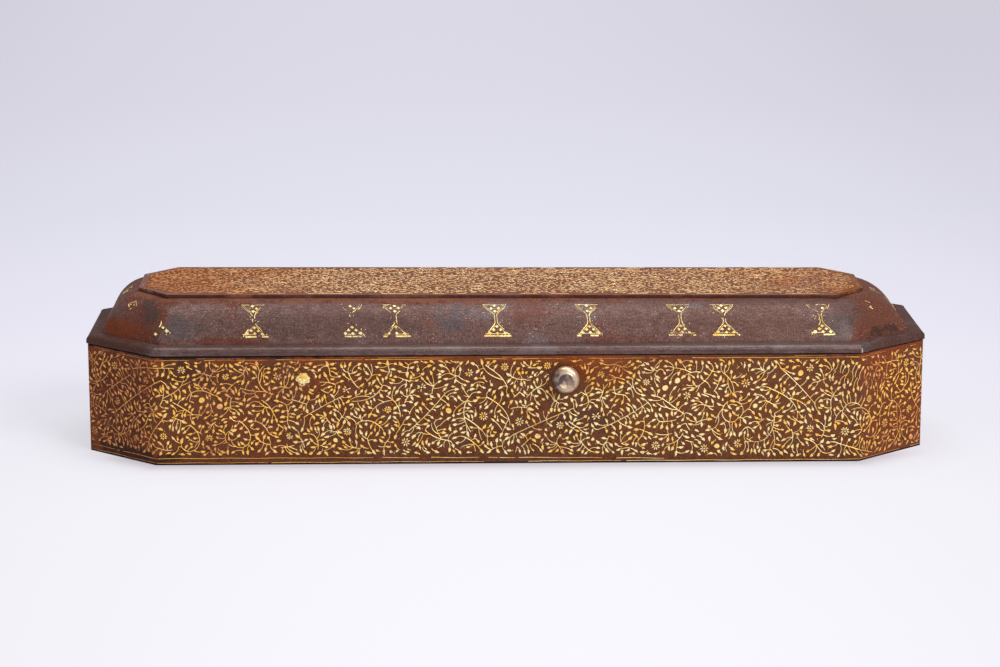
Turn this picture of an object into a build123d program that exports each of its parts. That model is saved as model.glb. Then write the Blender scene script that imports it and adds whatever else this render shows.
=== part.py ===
from build123d import *
import os
from math import atan2, cos, degrees, radians, sin, tan

os.makedirs("parts", exist_ok=True)

# A steel pen box: a long eight-sided body with upright walls, and a hinged domed lid.
# Sizes are in millimetres. X runs along the box, -Y is the front, +Z is up,
# and the origin is the centre of the underside.

# Driving dimensions of the whole box
box_length = 300.0
box_width = 92.0
corner_length = 25.5
corner_width = 22.5
body_height = 39.0
body_sheet = 1.5
bend_radius = 1.2

# Lid: moulding round the foot, convex dome, flat top plate
parting_gap = 0.2
lid_sheet = 1.2
rim_overhang = 0.5
rim_inner_inset = 4.8
rim_face_height = 3.0
rim_top_height = 3.3
rim_edge_radius = 0.5
dome_top_inset = 21.0
dome_rise = 13.8
dome_start_angle = 25.0
dome_lip = 4.0
plate_length = 262.0
plate_width = 51.0
plate_corner_length = 11.3
plate_corner_width = 13.5
plate_thickness = 1.4
plate_edge = 0.3

# Hinges on the back, with the pin centred on the wall's outer face at the parting line
hinge_spots = (-80.0, 80.0)
knuckle_length = 8.0
knuckle_gap = 0.15
knuckle_radius = 2.0
hinge_pin_radius = 0.9
hinge_pin_play = 0.05
hinge_relief = 0.15
pin_head_radius = 1.4
pin_head_thickness = 0.5
body_leaf_thickness = 1.2
body_leaf_bottom = 24.0
body_foot_thickness = 1.15
lid_leaf_thickness = 1.0
leaf_corner = 3.0
body_rivet_radius = 0.9
body_rivet_head_radius = 1.6
body_rivet_head = 0.6
body_rivet_height = 29.0
lid_rivet_radius = 0.7
lid_rivet_head_radius = 1.2
lid_rivet_head = 0.4
lid_rivet_inset = 3.4
rivet_pitch = 8.0

# Latch inside the front wall: stud, leaf spring with a nib, keeper on the lid, push button
latch_height = 31.0
stud_x = -72.0
stud_radius = 2.4
stud_head_radius = 3.4
stud_head = 0.8
spring_thickness = 0.8
spring_width = 7.0
spring_start_x = -82.0
spring_crank_start_x = -63.0
spring_crank_end_x = -54.0
spring_end_x = 26.5
spring_offset = 2.6
spring_tip_radius = 2.5
nib_half_length = 2.0
nib_reach = 1.1
nib_bottom = 29.7
nib_tip_top = 30.3
nib_top = 32.3
keeper_half_length = 6.0
keeper_thickness = 1.2
keeper_wall_gap = 1.2
keeper_bottom = 27.8
keeper_mortise = 2.0
slot_half_length = 2.4
slot_bottom = 29.5
slot_top = 32.9
button_x = 20.2
button_play = 0.06
shank_radius = 2.0
tenon_radius = 1.2
button_gap = 2.2
button_radius = 4.8
button_edge = 0.9
button_proud = 5.4
button_disc_radius = 2.6
button_dish = 0.25
collar_radius = 1.9
collar_thickness = 0.6
tenon_proud = 0.3

# Ink bay at the right end
partition_x = 95.0
partition_thickness = 1.0
partition_top = 30.0
partition_foot = 8.0
pot_x = 119.0
pot_side = 28.0
pot_corner = 4.0
pot_height = 20.0
pot_bore_radius = 9.5
pot_bore_depth = 17.0
cover_lift = 0.1
cover_thickness = 1.6
cover_radius = 11.0
cover_axis_offset = 12.6
cover_axis_height = 1.4
cover_knuckle_radius = 1.3
cover_knuckle_half = 1.5
cover_lug_gap = 0.1
cover_lug_length = 2.4
cover_pin_radius = 0.6
cover_pin_play = 0.04
knob_radius = 1.9
knob_neck_radius = 1.1
knob_neck = 1.0
knob_height = 3.0

# Places that follow from the sizes above
half_length = box_length / 2
half_width = box_width / 2
corner_angle = degrees(atan2(corner_length, corner_width))
wall_inside = half_width - body_sheet
rim_bottom = body_height + parting_gap
rim_face_top = rim_bottom + rim_face_height
rim_top = rim_bottom + rim_top_height
dome_top = rim_top + dome_rise
hinge_half = 1.5 * knuckle_length
lid_rivet_y = half_width - lid_rivet_inset
rivet_places = [x + step * rivet_pitch for x in hinge_spots for step in (-1, 0, 1)]
notch_depth = knuckle_radius + hinge_relief
knuckle_in = knuckle_length / 2 + knuckle_gap
keeper_front = -wall_inside + keeper_wall_gap
spring_front = -wall_inside + spring_offset
spring_back = spring_front + spring_thickness
tenon_end = half_width + spring_back + collar_thickness + tenon_proud
pot_top = body_sheet + pot_height
cover_bottom = pot_top + cover_lift
cover_axis_x = pot_x - cover_axis_offset
cover_axis_z = pot_top + cover_axis_height

# The eight sides in order round the plan, with the angle that each faces.
# Corner number n of the plan outline lies between side n and the next one.
side_names = (
    "right",
    "back_right",
    "back",
    "back_left",
    "left",
    "front_left",
    "front",
    "front_right",
)
side_angles = (
    0,
    corner_angle,
    90,
    180 - corner_angle,
    180,
    180 + corner_angle,
    270,
    360 - corner_angle,
)


def save(part, name):
    """Label a finished piece and write its STEP file."""
    part.label = name
    export_step(part, f"parts/{name}.step")


def eight_corners(x, y, cut_x, cut_y):
    """Corners of an eight-sided outline with half sizes x and y and its corners cut off."""
    quarter = [(x, y - cut_y), (x - cut_x, y)]
    mirrored = [(-a, b) for a, b in reversed(quarter)]
    return quarter + mirrored + [(-a, -b) for a, b in quarter + mirrored]


def octagon(inset):
    """Corners of the plan outline, set in from the body's outer face."""
    half_turn = radians(corner_angle / 2)
    rest_turn = radians(45 - corner_angle / 2)
    cut_y = corner_width - inset * (1 - tan(half_turn))
    cut_x = corner_length - inset * (1 - tan(rest_turn))
    return eight_corners(half_length - inset, half_width - inset, cut_x, cut_y)


def side_distance(number):
    """Distance from the box's axis to the body's outer face on one side."""
    corner_x, corner_y = octagon(0)[number]
    angle = radians(side_angles[number])
    return corner_x * cos(angle) + corner_y * sin(angle)


def heading(angle):
    """Unit vector at an angle in plan, in degrees from +X."""
    return Vector(cos(radians(angle)), sin(radians(angle)), 0)


def section_plane(angle):
    """Upright plane whose x axis points at an angle in plan and whose y axis points up."""
    return Plane(origin=(0, 0, 0), x_dir=heading(angle), z_dir=heading(angle - 90))


def dome_section(number, shrink, bottom):
    """Upright section across the lid dome, between side number and the side facing it."""
    distance = side_distance(number)
    arc_end = distance - dome_top_inset
    arc_width = (dome_top_inset - rim_inner_inset) / cos(radians(dome_start_angle))
    arc_height = dome_rise / (1 - sin(radians(dome_start_angle)))
    with BuildSketch(section_plane(side_angles[number])) as section:
        with BuildLine():
            curve = EllipticalCenterArc(
                (arc_end, dome_top - arc_height),
                arc_width - shrink,
                arc_height - shrink,
                dome_start_angle,
                arc_size=90 - dome_start_angle,
            )
            foot = curve @ 0
            crown = curve @ 1
            Line((foot.X, bottom), foot)
            Line(crown, (0, crown.Y))
            Line((0, crown.Y), (0, bottom))
            Line((0, bottom), (foot.X, bottom))
        make_face()
        mirror(about=Plane.YZ)
    return section.sketch


# Body wall: one eight-sided band, notched for the hinges and holed for the latch
with BuildPart() as body_wall:
    with BuildSketch() as body_plan:
        with BuildLine():
            Polyline(*octagon(0), close=True)
        make_face()
        fillet(body_plan.vertices(), bend_radius)
        with BuildLine():
            Polyline(*octagon(body_sheet), close=True)
        make_face(mode=Mode.SUBTRACT)
    extrude(amount=body_height)
    with Locations(*[(x, half_width, body_height) for x in hinge_spots]):
        Box(
            2 * (hinge_half + knuckle_gap + pin_head_thickness),
            2 * body_sheet,
            2 * notch_depth,
            mode=Mode.SUBTRACT,
        )
    with Locations(Plane((button_x, -half_width, latch_height), (1, 0, 0), (0, -1, 0))):
        Hole(shank_radius + button_play, body_sheet)
    with Locations(Plane((stud_x, -half_width, latch_height), (1, 0, 0), (0, -1, 0))):
        Hole(stud_radius, body_sheet)
    for rivet_x in rivet_places:
        with Locations(Plane((rivet_x, half_width, body_rivet_height), (1, 0, 0), (0, 1, 0))):
            Hole(body_rivet_radius, body_sheet)
save(body_wall.part, "body_wall")


# Base plate, let in between the walls
with BuildPart() as base_plate:
    with BuildSketch():
        with BuildLine():
            Polyline(*octagon(body_sheet), close=True)
        make_face()
    extrude(amount=body_sheet)
save(base_plate.part, "base_plate")


def hinge_recess(hinge_x):
    """Space in the lid for one hinge: a pocket for the leaf and relief round the knuckles."""
    leaf_inner = rim_inner_inset + lid_sheet
    relief = notch_depth + hinge_relief
    with BuildPart() as recess:
        with Locations((hinge_x, half_width - leaf_inner, rim_bottom)):
            Box(
                2 * hinge_half,
                leaf_inner,
                lid_leaf_thickness,
                align=(Align.CENTER, Align.MIN, Align.MIN),
            )
        with Locations((hinge_x, half_width - relief, rim_bottom - parting_gap)):
            Box(
                2 * (hinge_half + knuckle_gap + pin_head_thickness),
                relief + 2 * rim_overhang,
                notch_depth,
                align=(Align.CENTER, Align.MIN, Align.MIN),
            )
    return recess.part


def keeper_blade(top):
    """The keeper's blank, from its foot up to a given height."""
    with BuildPart() as blade:
        with Locations((0, keeper_front, keeper_bottom)):
            Box(
                2 * keeper_half_length,
                keeper_thickness,
                top - keeper_bottom,
                align=(Align.CENTER, Align.MIN, Align.MIN),
            )
    return blade.part


hinge_recesses = [hinge_recess(x) for x in hinge_spots]
keeper_blank = keeper_blade(rim_bottom + keeper_mortise)


# Lid moulding: eight strips with mitred ends, notched for the hinges and the keeper
for number, side in enumerate(side_names):
    side_angle = side_angles[number]
    distance = side_distance(number)
    turn_after = (side_angles[(number + 1) % 8] - side_angle) % 360
    turn_before = (side_angle - side_angles[number - 1]) % 360
    mitres = (
        (octagon(0)[number], side_angle + turn_after / 2 - 90),
        (octagon(0)[number - 1], side_angle - turn_before / 2 + 90),
    )
    with BuildPart() as rim_strip:
        with BuildSketch(section_plane(side_angle)) as rim_profile:
            with BuildLine():
                Polyline(
                    (distance - rim_inner_inset, rim_bottom),
                    (distance + rim_overhang, rim_bottom),
                    (distance + rim_overhang, rim_face_top),
                    (distance - rim_inner_inset, rim_top),
                    close=True,
                )
            make_face()
            outer_corners = rim_profile.vertices().sort_by(Axis.X)[-2:]
            fillet(outer_corners.sort_by(Axis.Y)[-1], rim_edge_radius)
        extrude(amount=box_length, both=True)
        for corner, facing in mitres:
            split(bisect_by=Plane((*corner, 0), z_dir=heading(facing)))
        if side == "back":
            add(hinge_recesses, mode=Mode.SUBTRACT)
            with Locations(*[(x, lid_rivet_y, rim_top) for x in rivet_places]):
                Hole(lid_rivet_radius, rim_top_height)
        if side == "front":
            add(keeper_blank, mode=Mode.SUBTRACT)
    save(rim_strip.part, f"lid_rim_{side}")


# Lid dome: the space that four crossing sections share, hollowed by the same space made smaller
with BuildPart() as dome_hollow:
    for number in range(4):
        inner = dome_section(number, lid_sheet, body_height)
        shared = Mode.ADD if number == 0 else Mode.INTERSECT
        extrude(inner, amount=box_length, both=True, mode=shared)

with BuildPart() as lid_dome:
    for number in range(4):
        outer = dome_section(number, 0, rim_bottom)
        shared = Mode.ADD if number == 0 else Mode.INTERSECT
        extrude(outer, amount=box_length, both=True, mode=shared)
    add(dome_hollow.part, mode=Mode.SUBTRACT)
    with BuildSketch(Plane.XY.offset(dome_top)):
        with BuildLine():
            Polyline(*octagon(dome_top_inset + dome_lip), close=True)
        make_face()
    extrude(amount=-2 * lid_sheet, mode=Mode.SUBTRACT)
    add(hinge_recesses, mode=Mode.SUBTRACT)
save(lid_dome.part, "lid_dome")


# Top plate of the lid
plate_outline = eight_corners(
    plate_length / 2,
    plate_width / 2,
    plate_corner_length,
    plate_corner_width,
)
with BuildPart() as lid_top_plate:
    with BuildSketch(Plane.XY.offset(dome_top)):
        with BuildLine():
            Polyline(*plate_outline, close=True)
        make_face()
    extrude(amount=plate_thickness)
    chamfer(lid_top_plate.faces().sort_by(Axis.Z)[-1].edges(), plate_edge)
save(lid_top_plate.part, "lid_top_plate")


def knuckle(hinge_x, start, end, bore):
    """Barrel of one hinge knuckle, between two offsets from the hinge's middle."""
    with BuildPart() as barrel:
        with BuildSketch(Plane((hinge_x + start, half_width, body_height), (0, 1, 0), (1, 0, 0))):
            Circle(knuckle_radius)
            Circle(bore, mode=Mode.SUBTRACT)
        extrude(amount=end - start)
    return barrel.part


# Hinges: leaves and pins
for hinge_x in hinge_spots:
    hand = "left" if hinge_x < 0 else "right"
    outer_knuckles = ((-hinge_half, -knuckle_in), (knuckle_in, hinge_half))
    with BuildPart() as body_leaf:
        with Locations((hinge_x, wall_inside, body_leaf_bottom)):
            Box(
                2 * hinge_half,
                body_leaf_thickness,
                body_height - notch_depth + body_foot_thickness - body_leaf_bottom,
                align=(Align.CENTER, Align.MAX, Align.MIN),
            )
        chamfer(body_leaf.edges().filter_by(Axis.Y).group_by(Axis.Z)[0], leaf_corner)
        with Locations((hinge_x, wall_inside, body_height - notch_depth)):
            Box(
                2 * knuckle_in,
                2 * body_leaf_thickness,
                body_foot_thickness,
                align=(Align.CENTER, Align.CENTER, Align.MIN),
                mode=Mode.SUBTRACT,
            )
        for start, end in outer_knuckles:
            with Locations((hinge_x + start, wall_inside, body_height - notch_depth)):
                Box(
                    end - start,
                    body_sheet,
                    body_foot_thickness,
                    align=(Align.MIN, Align.MIN, Align.MIN),
                )
            add(knuckle(hinge_x, start, end, hinge_pin_radius))
        for step in (-1, 0, 1):
            spot = (hinge_x + step * rivet_pitch, wall_inside, body_rivet_height)
            with Locations(Plane(spot, (1, 0, 0), (0, 1, 0))):
                Hole(body_rivet_radius, body_leaf_thickness)
    save(body_leaf.part, f"hinge_body_leaf_{hand}")

    with BuildPart() as lid_leaf:
        with Locations((hinge_x, half_width - rim_inner_inset - lid_sheet, rim_bottom)):
            Box(
                2 * hinge_half,
                rim_inner_inset + lid_sheet - notch_depth - hinge_relief,
                lid_leaf_thickness,
                align=(Align.CENTER, Align.MIN, Align.MIN),
            )
            Box(
                knuckle_length,
                rim_inner_inset + lid_sheet,
                lid_leaf_thickness,
                align=(Align.CENTER, Align.MIN, Align.MIN),
            )
        pin_line = Plane((hinge_x, half_width, body_height), (0, 1, 0), (1, 0, 0))
        with Locations(pin_line):
            Cylinder(knuckle_radius, knuckle_length)
            Cylinder(hinge_pin_radius + hinge_pin_play, knuckle_length, mode=Mode.SUBTRACT)
        for step in (-1, 0, 1):
            spot = (hinge_x + step * rivet_pitch, lid_rivet_y, rim_bottom)
            with Locations(Plane(spot).offset(lid_leaf_thickness)):
                Hole(lid_rivet_radius, lid_leaf_thickness)
    save(lid_leaf.part, f"hinge_lid_leaf_{hand}")

    with BuildPart(pin_line) as hinge_pin:
        Cylinder(hinge_pin_radius, 2 * hinge_half)
        with Locations((0, 0, hinge_half), (0, 0, -hinge_half - pin_head_thickness)):
            Cylinder(
                pin_head_radius,
                pin_head_thickness,
                align=(Align.CENTER, Align.CENTER, Align.MIN),
            )
    save(hinge_pin.part, f"hinge_pin_{hand}")


def group(placed):
    """Several loose solids kept together as one named piece."""
    return Compound(children=placed)


# Rivets of the hinges, flush outside
body_rivets = []
lid_rivets = []
for rivet_x in rivet_places:
    with BuildPart() as body_rivet:
        with BuildSketch(Plane((rivet_x, half_width, body_rivet_height), (1, 0, 0), (0, -1, 0))):
            Circle(body_rivet_radius)
        extrude(amount=body_sheet + body_leaf_thickness)
        with BuildSketch(body_rivet.faces().sort_by(Axis.Y)[0]):
            Circle(body_rivet_head_radius)
        extrude(amount=body_rivet_head)
        chamfer(body_rivet.edges().group_by(Axis.Y)[0], body_rivet_head / 2)
    body_rivets.append(body_rivet.part.solid())
    with BuildPart() as lid_rivet:
        with BuildSketch(Plane((rivet_x, lid_rivet_y, rim_bottom))):
            Circle(lid_rivet_radius)
        extrude(amount=rim_top_height)
        with BuildSketch(lid_rivet.faces().sort_by(Axis.Z)[-1]):
            Circle(lid_rivet_head_radius)
        extrude(amount=lid_rivet_head)
        chamfer(lid_rivet.edges().group_by(Axis.Z)[-1], lid_rivet_head / 2)
    lid_rivets.append(lid_rivet.part.solid())
save(group(body_rivets), "hinge_body_rivets")
save(group(lid_rivets), "hinge_lid_rivets")


# Latch stud: flush outside, headed over the spring inside
with BuildPart() as latch_stud:
    with BuildSketch(Plane((stud_x, -half_width, latch_height), (1, 0, 0), (0, 1, 0))):
        Circle(stud_radius)
    extrude(amount=body_sheet + spring_thickness)
    with BuildSketch(latch_stud.faces().sort_by(Axis.Y)[-1]):
        Circle(stud_head_radius)
    extrude(amount=stud_head)
    chamfer(latch_stud.edges().group_by(Axis.Y)[-1], stud_head / 2)
save(latch_stud.part, "latch_stud")


# Latch spring: flat on the wall at the stud, cranked behind the keeper, nib pointing forward
with BuildPart() as latch_spring:
    with BuildSketch(Plane.XY.offset(latch_height - spring_width / 2)):
        with BuildLine():
            front_line = Polyline(
                (spring_start_x, -wall_inside),
                (spring_crank_start_x, -wall_inside),
                (spring_crank_end_x, spring_front),
                (spring_end_x, spring_front),
            )
            back_line = Polyline(
                (spring_start_x, -wall_inside + spring_thickness),
                (spring_crank_start_x, -wall_inside + spring_thickness),
                (spring_crank_end_x, spring_back),
                (spring_end_x, spring_back),
            )
            Line(front_line @ 0, back_line @ 0)
            Line(front_line @ 1, back_line @ 1)
        make_face()
    extrude(amount=spring_width)
    tips = latch_spring.edges().filter_by(Axis.Y)
    fillet(tips.group_by(Axis.X)[0] + tips.group_by(Axis.X)[-1], spring_tip_radius)
    with BuildSketch(Plane.YZ.offset(-nib_half_length)):
        with BuildLine():
            Polyline(
                (spring_front, nib_bottom),
                (spring_front - nib_reach, nib_bottom),
                (spring_front - nib_reach, nib_tip_top),
                (spring_front, nib_top),
                close=True,
            )
        make_face()
    extrude(amount=2 * nib_half_length)
    with Locations(Plane((button_x, spring_front, latch_height), (1, 0, 0), (0, -1, 0))):
        Hole(tenon_radius + button_play, spring_thickness)
    with Locations(Plane((stud_x, -wall_inside, latch_height), (1, 0, 0), (0, -1, 0))):
        Hole(stud_radius, spring_thickness)
save(latch_spring.part, "latch_spring")


# Keeper: the slotted tongue that hangs from the front moulding
with BuildPart() as lid_keeper:
    add(keeper_blank)
    with Locations((0, keeper_front, (slot_bottom + slot_top) / 2)):
        Box(
            2 * slot_half_length,
            keeper_thickness,
            slot_top - slot_bottom,
            align=(Align.CENTER, Align.MIN, Align.CENTER),
            mode=Mode.SUBTRACT,
        )
    foot_edge = lid_keeper.edges().filter_by(Axis.X).group_by(Axis.Z)[0].sort_by(Axis.Y)[-1]
    chamfer(foot_edge, keeper_thickness / 2)
save(lid_keeper.part, "lid_keeper")


# Button: turned in one piece with its shank; the collar holds it on the spring
button_line = Plane((button_x, -half_width, latch_height))
with BuildPart() as button:
    with BuildSketch(button_line):
        with BuildLine():
            Polyline(
                (0, tenon_end),
                (tenon_radius, tenon_end),
                (tenon_radius, half_width + spring_front),
                (shank_radius, half_width + spring_front),
                (shank_radius, -button_gap),
                (button_radius - button_edge / 2, -button_gap),
                (button_radius, -button_gap - button_edge / 2),
                (button_radius, -button_gap - button_edge),
            )
            crown = EllipticalCenterArc(
                (button_disc_radius, -button_gap - button_edge),
                button_radius - button_disc_radius,
                button_proud - button_gap - button_edge,
                0,
                arc_size=-90,
            )
            Polyline(
                crown @ 1,
                (button_disc_radius - button_dish, button_dish - button_proud),
                (0, button_dish - button_proud),
                (0, tenon_end),
            )
        make_face()
    revolve(axis=Axis((button_x, 0, latch_height), (0, 1, 0)))
save(button.part, "button")

with BuildPart() as button_collar:
    with BuildSketch(Plane((button_x, spring_back, latch_height), (1, 0, 0), (0, 1, 0))):
        Circle(collar_radius)
        Circle(tenon_radius, mode=Mode.SUBTRACT)
    extrude(amount=collar_thickness)
    outer_edge = button_collar.edges().group_by(Axis.Y)[-1].sort_by(SortBy.LENGTH)[-1]
    chamfer(outer_edge, collar_thickness / 2)
save(button_collar.part, "button_collar")


# Ink bay: cross sheet with a foot on the base plate
with BuildPart() as ink_partition:
    with Locations((partition_x, 0, body_sheet)):
        Box(
            partition_thickness,
            2 * wall_inside,
            partition_top - body_sheet,
            align=(Align.MIN, Align.CENTER, Align.MIN),
        )
        Box(
            partition_foot,
            2 * wall_inside,
            partition_thickness,
            align=(Align.MIN, Align.CENTER, Align.MIN),
        )
save(ink_partition.part, "ink_partition")


# Inkwell: bored block with two lugs for the cover
with BuildPart() as inkwell_pot:
    with BuildSketch(Plane((pot_x, 0, body_sheet))):
        RectangleRounded(pot_side, pot_side, pot_corner)
    extrude(amount=pot_height)
    with Locations((pot_x, 0, pot_top)):
        Hole(pot_bore_radius, pot_bore_depth)
    lug_middle = cover_knuckle_half + cover_lug_gap + cover_lug_length / 2
    for lug_y in (-lug_middle, lug_middle):
        with Locations((cover_axis_x, lug_y, pot_top)):
            Box(
                2 * cover_knuckle_radius,
                cover_lug_length,
                cover_axis_height,
                align=(Align.CENTER, Align.CENTER, Align.MIN),
            )
        with Locations(Plane((cover_axis_x, lug_y, cover_axis_z), (1, 0, 0), (0, 1, 0))):
            Cylinder(cover_knuckle_radius, cover_lug_length)
            Cylinder(cover_pin_radius, cover_lug_length, mode=Mode.SUBTRACT)
save(inkwell_pot.part, "inkwell_pot")

with BuildPart() as inkwell_cover:
    with BuildSketch(Plane((pot_x, 0, cover_bottom))):
        Circle(cover_radius)
    extrude(amount=cover_thickness)
    with Locations((cover_axis_x, 0, cover_bottom)):
        Box(
            cover_axis_offset,
            2 * cover_knuckle_half,
            cover_thickness,
            align=(Align.MIN, Align.CENTER, Align.MIN),
        )
    cover_line = Plane((cover_axis_x, 0, cover_axis_z), (1, 0, 0), (0, 1, 0))
    with Locations(cover_line):
        Cylinder(cover_knuckle_radius, 2 * cover_knuckle_half)
        Cylinder(cover_pin_radius + cover_pin_play, 2 * cover_knuckle_half, mode=Mode.SUBTRACT)
    with BuildSketch(Plane((pot_x, 0, cover_bottom + cover_thickness))):
        Circle(knob_neck_radius)
    extrude(amount=knob_neck)
    with BuildSketch(inkwell_cover.faces().sort_by(Axis.Z)[-1]):
        Circle(knob_radius)
    extrude(amount=knob_height - knob_neck)
    fillet(inkwell_cover.edges().group_by(Axis.Z)[-1], knob_neck_radius / 2)
save(inkwell_cover.part, "inkwell_cover")

with BuildPart(cover_line) as inkwell_cover_pin:
    Cylinder(cover_pin_radius, 2 * (cover_knuckle_half + cover_lug_gap + cover_lug_length))
save(inkwell_cover_pin.part, "inkwell_cover_pin")
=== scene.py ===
import logging
import math
from dataclasses import dataclass, replace
from enum import Enum
from typing import Callable, Optional, Sequence, Union

import bmesh
import bpy
import numpy as np
from mathutils import Matrix, Vector, noise


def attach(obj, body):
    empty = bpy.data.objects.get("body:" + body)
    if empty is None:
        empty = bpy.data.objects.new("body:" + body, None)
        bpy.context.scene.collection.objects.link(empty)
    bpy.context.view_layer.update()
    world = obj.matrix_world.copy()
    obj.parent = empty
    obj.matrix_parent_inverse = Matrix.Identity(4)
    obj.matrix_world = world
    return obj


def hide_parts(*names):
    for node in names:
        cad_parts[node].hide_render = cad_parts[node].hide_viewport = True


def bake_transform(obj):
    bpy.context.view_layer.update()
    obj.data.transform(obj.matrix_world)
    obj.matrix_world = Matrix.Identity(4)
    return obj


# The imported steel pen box, which this script dresses: aged steel, gold vines, light and floor.
# Sizes are in millimetres in the drawings below and in metres in the finished meshes.
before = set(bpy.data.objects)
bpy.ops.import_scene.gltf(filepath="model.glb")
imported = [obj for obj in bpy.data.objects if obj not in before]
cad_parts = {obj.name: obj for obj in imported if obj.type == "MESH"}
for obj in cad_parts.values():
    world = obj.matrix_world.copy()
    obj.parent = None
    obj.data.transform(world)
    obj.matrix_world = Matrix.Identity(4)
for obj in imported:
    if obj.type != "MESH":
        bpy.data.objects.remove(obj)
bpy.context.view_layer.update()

MM = 0.001
LOG = logging.getLogger("pen_box")
Colour = tuple[float, float, float, float]
Span = tuple[float, float]
Value = Union["Signal", float]


def display(red: int, green: int, blue: int) -> Colour:
    """Linear colour of a colour as a screen shows it.

    Args:
        red: Red channel, 0 to 255.
        green: Green channel, 0 to 255.
        blue: Blue channel, 0 to 255.

    Returns:
        The linear colour, with an alpha of 1.
    """
    linear = [
        c / 12.92 if c <= 0.04045 else ((c + 0.055) / 1.055) ** 2.4
        for c in (red / 255, green / 255, blue / 255)
    ]
    return (*linear, 1.0)


def darker(colour: Colour) -> Colour:
    """The same linear colour at half its strength."""
    return (*(0.5 * c for c in colour[:3]), 1.0)


# Shader building
def math_node(operation: str, swapped: bool = False) -> Callable[..., "Signal"]:
    """A method for signals that adds one Math node.

    Args:
        operation: What the node works out.
        swapped: Whether the other value comes before the signal.

    Returns:
        The method, which takes the other value where the operation has one.
    """

    def method(signal: "Signal", *others: Value) -> "Signal":
        """The node's result."""
        values = (*others, signal) if swapped else (signal, *others)
        settings = {"operation": operation}
        return signal.shade.node("ShaderNodeMath", settings, dict(enumerate(values)))

    return method


class Signal:
    """A number carried by a node's output; arithmetic on it adds Math nodes."""

    __add__ = math_node("ADD")
    __radd__ = math_node("ADD", swapped=True)
    __sub__ = math_node("SUBTRACT")
    __rsub__ = math_node("SUBTRACT", swapped=True)
    __mul__ = math_node("MULTIPLY")
    __rmul__ = math_node("MULTIPLY", swapped=True)
    __truediv__ = math_node("DIVIDE")
    __abs__ = math_node("ABSOLUTE")
    larger = math_node("MAXIMUM")
    smaller = math_node("MINIMUM")
    root = math_node("SQRT")

    def __init__(self, shade: "Shade", socket: bpy.types.NodeSocket) -> None:
        """Wrap one output socket of a shade's node tree."""
        self.shade = shade
        self.socket = socket

    def rises(self, low: float, high: float) -> "Signal":
        """Share from 0 at low to 1 at high, smooth at both ends; high may be the smaller."""
        inputs = {"Value": self, "From Min": low, "From Max": high}
        return self.shade.node("ShaderNodeMapRange", {"interpolation_type": "SMOOTHSTEP"}, inputs)


def squares(first: Signal, second: Signal) -> Signal:
    """Square of the length of a step with these two parts."""
    return first * first + second * second


@dataclass(frozen=True)
class Grain:
    """A kind of noise: size of its largest lumps, number of finer layers, their strength."""

    lump: float
    layers: float = 2.0
    roughness: float = 0.5


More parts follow.
